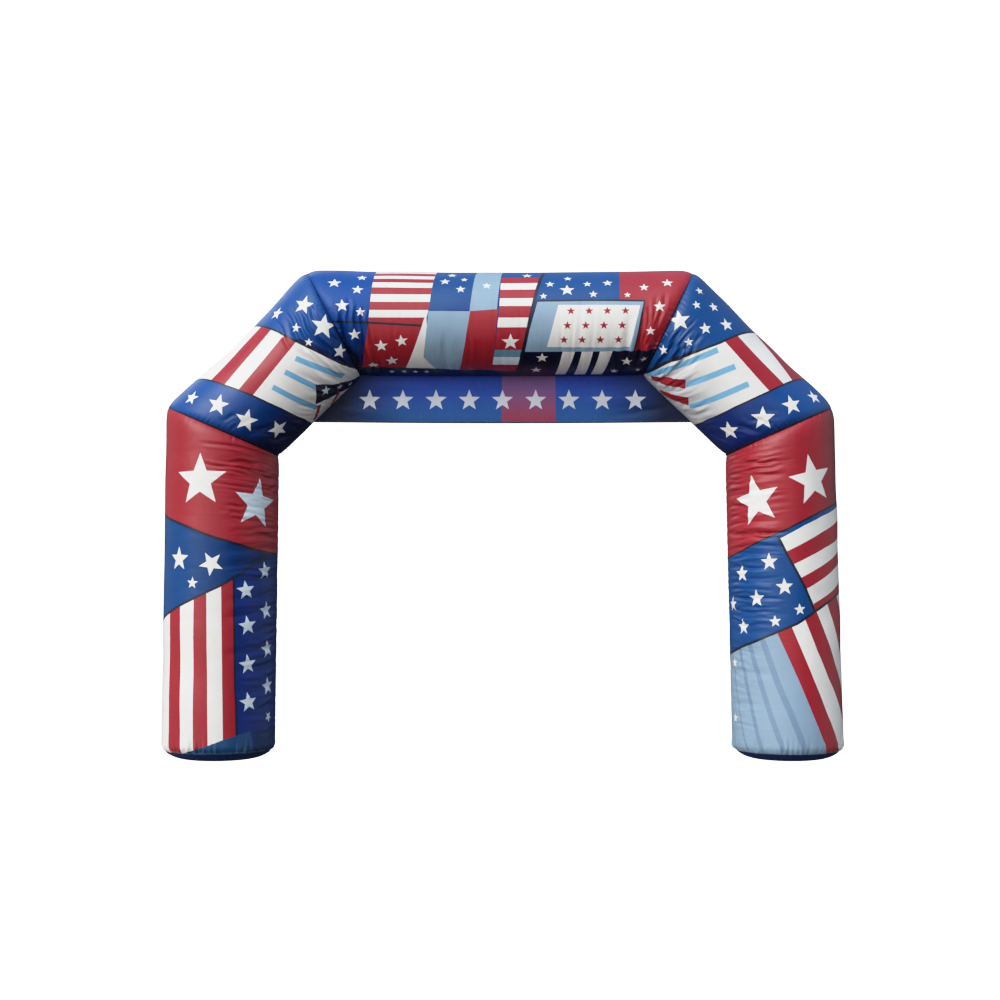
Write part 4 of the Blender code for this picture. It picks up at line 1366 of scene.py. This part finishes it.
def sewn_piece(places, faces, name, material):
    """An object with one material, its mesh checked for stray faces."""
    thing = make_object(name, places, faces, [material])
    thing.data.validate()
    return thing


crown_path, _ = seam_path("top_beam", True, 0.0)
print("the left crown seam reaches up to", round(crown_path[:, 2].max(), 3), "m")

# %% Mitre seams
WELT_THIN = 0.0012       # radius of the welt on the outer side
WELT_SWELL = 0.7         # how soon it thickens on its way to the inner side
WELT_SUNK = 0.001        # how deep its middle lies in the cloth
BESIDE_WELT = 0.009      # distance of each row of stitches from the seam
MITRE_STITCH = (0.0105, 0.0075, 0.0009)  # pitch, length, radius
# lower and upper tube, whether the seam is the upper tube's first, radius of the welt inside
MITRES = {
    "elbow_left": ("leg_left", "slope_left", True, 0.013),
    "crown_left": ("slope_left", "top_beam", True, 0.010),
    "crown_right": ("slope_right", "top_beam", False, 0.010),
    "elbow_right": ("leg_right", "slope_right", True, 0.014),
}
for seam, (lower, upper, upper_at_start, welt_thick) in MITRES.items():
    path, normals = seam_path(lower, False, 0.0002)
    round_seam = np.linspace(0, 2 * pi, len(path), endpoint=False)
    # the dark welt thickens towards the inner side, where it stands for the groove's shade as well: painted
    # shade
    thick = WELT_THIN + (welt_thick - WELT_THIN) * (0.5 - 0.5 * np.cos(round_seam)) ** WELT_SWELL
    cord = swept_ring(path - normals * WELT_SUNK, normals, thick)
    welt = sewn_piece(*cord, "welt_" + seam, WELT_CLOTH)
    rows = [seam_path(lower, False, BESIDE_WELT), seam_path(upper, upper_at_start, BESIDE_WELT)]
    stitches = joined([stitch_row(path, normals, *MITRE_STITCH) for path, normals in rows])
    thread = sewn_piece(*stitches, "thread_" + seam, DARK_THREAD)
    for thing in (welt, thread):
        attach(thing, "root")
    print(seam, len(thread.data.polygons), "stitch faces")

# %% Base seams
BASE_ROWS = (0.008, 0.016)              # height of each row of stitches above the base seam
BASE_STITCH = (0.0125, 0.0080, 0.0011)  # pitch, length, radius
for side in ("left", "right"):
    around = np.linspace(-QUARTER, 3 * QUARTER, SEAM_POINTS, endpoint=False)
    rows = []
    for above in BASE_ROWS:
        height = np.full(SEAM_POINTS, BASE_SEAM_HEIGHT + above)
        path = cloth_place("leg_" + side, height, around)
        higher = cloth_place("leg_" + side, height + FINGER, around)
        rows.append(stitch_row(path, normals_beside(path, path - higher), *BASE_STITCH))
    thread = sewn_piece(*joined(rows), "thread_base_" + side, PALE_THREAD)
    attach(thread, "root")
    print(thread.name, len(thread.data.polygons), "stitch faces")

# %% [markdown]
# ## The banner
#
# The banner is one flat sheet in the arch's middle plane. Its top is sewn under the beam and its
# ends along the slopes, so it is drawn tight from both sides, and long soft folds run in from its
# lower corners. It is cut and printed like the tubes, this time in plain X and Z: a blue ground, a
# red block, a navy hem at the lower edge, and a row of plain stars.

# %% Outline of the banner
BANNER_LOW_EDGE = 3.016  # height of the lower edge at its ends
BANNER_SAG = 0.010       # its middle hangs this much lower
BANNER_TUCK = 0.002      # the sewn edges reach this far into the tubes' cloth
BANNER_TOP = (-1.272, 1.262)            # the top is sewn to the beam between these two places
under_beam = cloth_place("top_beam", np.linspace(*BANNER_TOP, 240), np.full(240, QUARTER))


def slope_edge(section, inward):
    """The edge along a slope from the crown down to the banner's lower edge."""
    _, _, low, high = ruling(section, [QUARTER])
    line = cloth_place(section, np.linspace(high[0], low[0], 200), np.full(200, QUARTER))
    line = line[line[:, 2] > BANNER_LOW_EDGE - 0.002]
    return np.stack([line[:, 0] - inward * BANNER_TUCK, line[:, 2]], axis=1)


left_end = slope_edge("slope_left", 1)
right_end = slope_edge("slope_right", -1)
top_edge = np.stack([under_beam[:, 0], under_beam[:, 2] + BANNER_TUCK], axis=1)
low_x = np.linspace(left_end[-1, 0], right_end[-1, 0], 280)[1:-1]
low_share = (low_x - left_end[-1, 0]) / (right_end[-1, 0] - left_end[-1, 0])
low_edge = np.stack([low_x, BANNER_LOW_EDGE - BANNER_SAG * np.sin(pi * low_share)], axis=1)
banner_outline = np.concatenate([top_edge[::-1], left_end[1:], low_edge, right_end[:0:-1]])
print(f"banner: {right_end[-1, 0] - left_end[-1, 0]:.2f} m wide at its lower edge")

# %% Folds of the banner
# x and z at the start, x and z at the end, how far it stands out to the front or back, width
BANNER_FOLDS = [
    (-1.56, 3.14, -0.95, 3.07, 0.009, 0.040), (-1.46, 3.24, -0.80, 3.24, -0.007, 0.045),
    (-1.34, 3.36, -0.50, 3.33, 0.006, 0.040), (-0.30, 3.30, 0.30, 3.26, -0.006, 0.060),
    (1.55, 3.15, 0.85, 3.06, -0.011, 0.040), (1.44, 3.26, 0.70, 3.20, 0.009, 0.045),
    (1.33, 3.36, 0.60, 3.34, -0.006, 0.040),
]
BANNER_FAMILIES = [
    ((-1.66, 3.05, -1.36, 3.38), (-0.90, 3.05, -0.70, 3.34), 14, 0.35, 0.0006, 0.002, 0.012, 0.026),
    ((1.66, 3.05, 1.36, 3.38), (0.85, 3.03, 0.60, 3.32), 18, 0.35, 0.0008, 0.003, 0.012, 0.026),
    ((-1.20, 3.43, 1.20, 3.43), (-1.25, 3.32, 1.25, 3.32), 44, 0.40, 0.0008, 0.002, 0.010, 0.020),
    ((-1.00, 3.03, 1.00, 3.03), (-0.96, 3.14, 1.04, 3.14), 26, 0.40, 0.0006, 0.0014, 0.010, 0.020),
]
BANNER_CREASES = draw_creases(BANNER_FAMILIES, SEED + 9)
SIDE_HOLD = 0.25         # metres over which each sewn end holds it flat
TOP_HOLD = 0.08          # metres over which the sewn top does
HOLD_BLUNT = 0.6         # the hold gives way quickly at first


def banner_stand_out(x, z):
    """How far the banner stands out to the front at each point."""
    total = np.zeros_like(x)
    for start_x, start_z, end_x, end_z, depth, width in BANNER_FOLDS:
        step_x, step_z = end_x - start_x, end_z - start_z
        length = hypot(step_x, step_z)
        share = np.clip(((x - start_x) * step_x + (z - start_z) * step_z) / length ** 2, 0, 1)
        beside = ((x - start_x) * step_z - (z - start_z) * step_x) / length / width
        total += depth * np.sin(pi * share) * np.exp(-beside ** 2)
    total += crease_height(BANNER_CREASES, x, z)
    side = np.minimum(x - np.interp(z, left_end[::-1, 1], left_end[::-1, 0]),
                      np.interp(z, right_end[::-1, 1], right_end[::-1, 0]) - x)
    below_top = np.interp(x, top_edge[:, 0], top_edge[:, 1]) - z
    hold = np.clip(np.minimum(side / SIDE_HOLD, below_top / TOP_HOLD), 0, 1)
    return total * hold ** HOLD_BLUNT


middle_out = banner_stand_out(np.zeros(1), np.full(1, 3.25))[0]
print(f"the banner's middle stands out by {middle_out * 1000:.1f} mm")

# %% Print of the banner
BANNER_ROUGH = 0.45      # duller than the tubes
BANNER_SHINE = 0.25
UPPER_BLUE = (linear(34, 70, 182), "height", 3.06, 3.42)
UPPER_RED = (linear(122, 86, 142), "height", 3.06, 3.34)
# the ground darkens towards both ends: painted shade that the slopes cast on them
ENDS_PAINTED_SHADE = (linear(2, 16, 54), "from middle", 0.85, 1.45)
BANNER_INKS = {
    "ground": coated_cloth("banner blue", linear(34, 86, 150), BANNER_ROUGH, 0.0015,
                           [UPPER_BLUE, ENDS_PAINTED_SHADE], BANNER_SHINE),
    "block": coated_cloth("banner red", linear(150, 58, 84), BANNER_ROUGH, 0.0015,
                          [UPPER_RED], BANNER_SHINE),
    "hem": coated_cloth("banner hem", linear(18, 26, 62), BANNER_ROUGH, 0.0010),
    "star": coated_cloth("banner star", linear(206, 212, 224), BANNER_ROUGH, 0.0010),
}
HEM_HEIGHT = 0.035
HEM_SHOWN = 0.4          # share of the hem's height that is printed navy
STAR_COUNT = 9
STAR_PITCH = 0.3
STAR_HEIGHT = 3.215      # of the stars' middles above the ground


class BannerPrint(Print):
    """A print on flat cloth, where right is X and up is Z."""

    def __init__(self):
        self.right, self.up, self.marks, self.ground = (1, 0), (0, 1), [], "ground"


sheet = BannerPrint()
sheet.patch("block", (-.006, 2.9), (-.006, 3.6), (.48, 3.6), (.48, 2.9))
hem_top = np.stack([low_x, low_edge[:, 1] + HEM_HEIGHT * HEM_SHOWN], axis=1)
sheet.patch("hem", (-1.9, 2.9), (-1.9, 3.03), *hem_top[::6], (1.9, 3.03), (1.9, 2.9))
first_star = -STAR_PITCH * (STAR_COUNT - 1) / 2
sheet.stars("star", *[(first_star + STAR_PITCH * i, STAR_HEIGHT, .10, 0) for i in range(STAR_COUNT)])
print("banner:", len(sheet.marks), "marks")

# %% Mesh of the banner
BANNER_THICK = 0.0024
HEM_THICK = 0.0038       # folded double
HEM_STEP = 0.002         # the thickness changes over this height
grid = [(x + 0.005 * (k % 2), z) for k, z in enumerate(np.arange(3.0, 3.47, 0.0095))
        for x in np.arange(-1.75, 1.75, 0.0105)]
grid = [p for p, ok in zip(grid, inside(np.array(grid), banner_outline)) if ok]

flat, triangles, ink = cut(banner_outline, sheet.marks, grid, "ground", BANNER_INKS, 1.0)
stand_out = banner_stand_out(flat[:, 0], flat[:, 1])
above_hem = flat[:, 1] - np.interp(flat[:, 0], low_edge[:, 0], low_edge[:, 1]) - HEM_HEIGHT
thick = BANNER_THICK + (HEM_THICK - BANNER_THICK) * np.clip(0.5 - above_hem / HEM_STEP, 0, 1)
front = np.stack([flat[:, 0], -stand_out - thick / 2, flat[:, 1]], axis=1)
back = np.stack([flat[:, 0], -stand_out + thick / 2, flat[:, 1]], axis=1)
a, b, c = front[triangles[0]]
if np.cross(b - a, c - a)[1] > 0:
    triangles = triangles[:, ::-1]
count = len(flat)
rim = open_edges(triangles)
# the rim joins the front sheet to the back sheet
rim_faces = np.concatenate([np.stack([rim[:, 1], rim[:, 0], rim[:, 0] + count], axis=1),
                            np.stack([rim[:, 1], rim[:, 0] + count, rim[:, 1] + count], axis=1)])
faces = np.concatenate([triangles, triangles[:, ::-1] + count, rim_faces])
inks = np.concatenate([ink, ink, np.full(len(rim_faces), list(BANNER_INKS).index("hem"))])
banner = make_object("banner_sheet", np.concatenate([front, back]), faces,
                     list(BANNER_INKS.values()), inks, np.concatenate([flat, flat]))
a, b = front[triangles[:, 1]] - front[triangles[:, 0]], front[triangles[:, 2]] - front[triangles[:, 0]]
banner_area = float(np.linalg.norm(np.cross(a, b), axis=1).sum() / 2)
print("banner:", len(faces), "triangles,", round(banner_area, 3), "square metres")

# %% Hem stitches and the banner's facts
HEM_STITCH = (0.0095, 0.0065, 0.0008)   # pitch, length, radius
BELOW_HEM_TOP = 0.004    # the stitches run this far below the hem's upper edge
hem_x = np.linspace(low_x[2], low_x[-3], 900)
threads = []
for side in (-1, 1):
    hem_z = np.interp(hem_x, low_edge[:, 0], low_edge[:, 1]) + HEM_HEIGHT - BELOW_HEM_TOP
    hem_y = -banner_stand_out(hem_x, hem_z) + side * HEM_THICK / 2
    path = np.stack([hem_x, hem_y, hem_z], axis=1)
    normals = np.tile([0.0, float(side), 0.0], (len(path), 1))
    threads.append(stitch_row(path, normals, *HEM_STITCH))
hem_thread = sewn_piece(*joined(threads), "thread_hem", DARK_THREAD)
for thing in (banner, hem_thread):
    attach(thing, "root")
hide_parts("banner")
print(hem_thread.name, len(hem_thread.data.polygons), "stitch faces")

# %% [markdown]
# ## Floor and light
#
# The arch was photographed in a white studio, and nothing but the arch is to be seen. So the floor
# and the backdrop glow in pure white for the camera alone, and throw no light on the cloth.
#
# Two broad lamps high on the left are the main light. A lower one in front fills in, a bluish one
# above gives the beam its long highlight, and one behind shows the back. The room's pale blue
# ceiling and its two side walls give the coated cloth its soft reflections. Last, the view's curve
# lifts the middle tones and rolls the whites off gently, as a camera does.

# %% Floor
WHITE = 2.2              # strength of the pure white that stands behind the arch
FLOOR_HALF = 60          # half the floor's width in metres
floor_mesh = bpy.data.meshes.new("floor")
floor_corners = [(x * FLOOR_HALF, y * FLOOR_HALF, 0) for x, y in ((-1, -1), (1, -1), (1, 1), (-1, 1))]
floor_mesh.from_pydata(floor_corners, [], [(0, 1, 2, 3)])
floor = bpy.data.objects.new("floor", floor_mesh)
floor.location.z = -0.0005
bpy.context.scene.collection.objects.link(floor)
floor_material = bpy.data.materials.new("pale floor")
floor_material.use_nodes = True
floor_shader = floor_material.node_tree.nodes["Principled BSDF"]
floor_shader.inputs["Base Color"].default_value = (0.02, 0.02, 0.02, 1)
floor_shader.inputs["Emission Color"].default_value = (1, 1, 1, 1)
floor_shader.inputs["Emission Strength"].default_value = WHITE
floor_shader.inputs["Roughness"].default_value = 0.9
floor_shader.inputs["Specular IOR Level"].default_value = 0.1
floor_mesh.materials.append(floor_material)
floor.visible_diffuse = False
floor.visible_glossy = False
print("floor:", 2 * FLOOR_HALF, "m wide")


# %% Lamps
def open_sky(name, azimuth, elevation, spread, strength, colour=(1, 1, 1)):
    """A far, soft light: azimuth is minus to the left of the camera, spread its width in degrees."""
    lamp = bpy.data.lights.new(name, "SUN")
    lamp.angle = radians(spread)
    lamp.energy = strength
    lamp.color = colour
    thing = bpy.data.objects.new(name, lamp)
    turn, rise = radians(azimuth), radians(elevation)
    away = Vector((sin(turn) * cos(rise), -cos(turn) * cos(rise), sin(rise)))
    thing.rotation_euler = away.to_track_quat("Z", "Y").to_euler()
    bpy.context.scene.collection.objects.link(thing)


open_sky("key light", -42, 28, 45, 1.58, (1.0, 0.95, 0.92))
open_sky("high light", -30, 50, 60, 1.25, (0.95, 1.0, 0.98))
open_sky("front light", -20, 6, 80, 0.84, (1.0, 0.99, 0.98))
open_sky("top light", 10, 80, 60, 0.27, (0.60, 0.85, 1.0))
open_sky("back light", -150, 35, 40, 0.35)

# %% The room
world = bpy.data.worlds.new("white studio")
bpy.context.scene.world = world
world.use_nodes = True
world_tree = world.node_tree
surround = world_tree.nodes["Background"]
direction = add_node(world_tree, "ShaderNodeTexCoord").outputs["Generated"]
axes = add_node(world_tree, "ShaderNodeSeparateXYZ", Vector=direction)
above = rescale(world_tree, axes.outputs["Z"], 0, 0.8, 0, 1)
left_wall = rescale(world_tree, axes.outputs["X"], -0.45, -0.90, 0.03, 0.44)
right_wall = rescale(world_tree, axes.outputs["X"], 0.62, 0.95, 0, 0.45)
walls = maths(world_tree, "ADD", left_wall, right_wall)
sky = mix_colour(world_tree, above, (0, 0, 0, 1), (0.32, 0.43, 0.60, 1))
grey = add_node(world_tree, "ShaderNodeCombineColor", Red=walls, Green=walls, Blue=walls)
room = add_node(world_tree, "ShaderNodeVectorMath", {"operation": "ADD"}, _0=sky, _1=grey.outputs[0])
world_tree.links.new(room.outputs[0], surround.inputs["Color"])
surround.inputs["Strength"].default_value = 1.0
backdrop = add_node(world_tree, "ShaderNodeBackground", Color=(1, 1, 1, 1), Strength=WHITE)
seen = add_node(world_tree, "ShaderNodeLightPath").outputs["Is Camera Ray"]
blend = add_node(world_tree, "ShaderNodeMixShader", _0=seen, _1=surround.outputs[0],
                 _2=backdrop.outputs[0])
world_tree.links.new(blend.outputs[0], world_tree.nodes["World Output"].inputs["Surface"])
print("nodes of the room's light:", len(world_tree.nodes))

# %% The view's curve
view = bpy.context.scene.view_settings
view.view_transform = "Standard"
view.use_curve_mapping = True
view.curve_mapping.white_level = (2, 2, 2)
shoulder = view.curve_mapping.curves[3].points
for bright, shown in ((0.20, 0.400), (0.30, 0.582), (0.40, 0.735), (0.50, 0.830), (0.60, 0.888),
                      (0.80, 0.958)):
    shoulder.new(bright, shown)
for point in shoulder:
    point.handle_type = "VECTOR"
view.curve_mapping.update()
print("points of the view's curve:", len(shoulder))
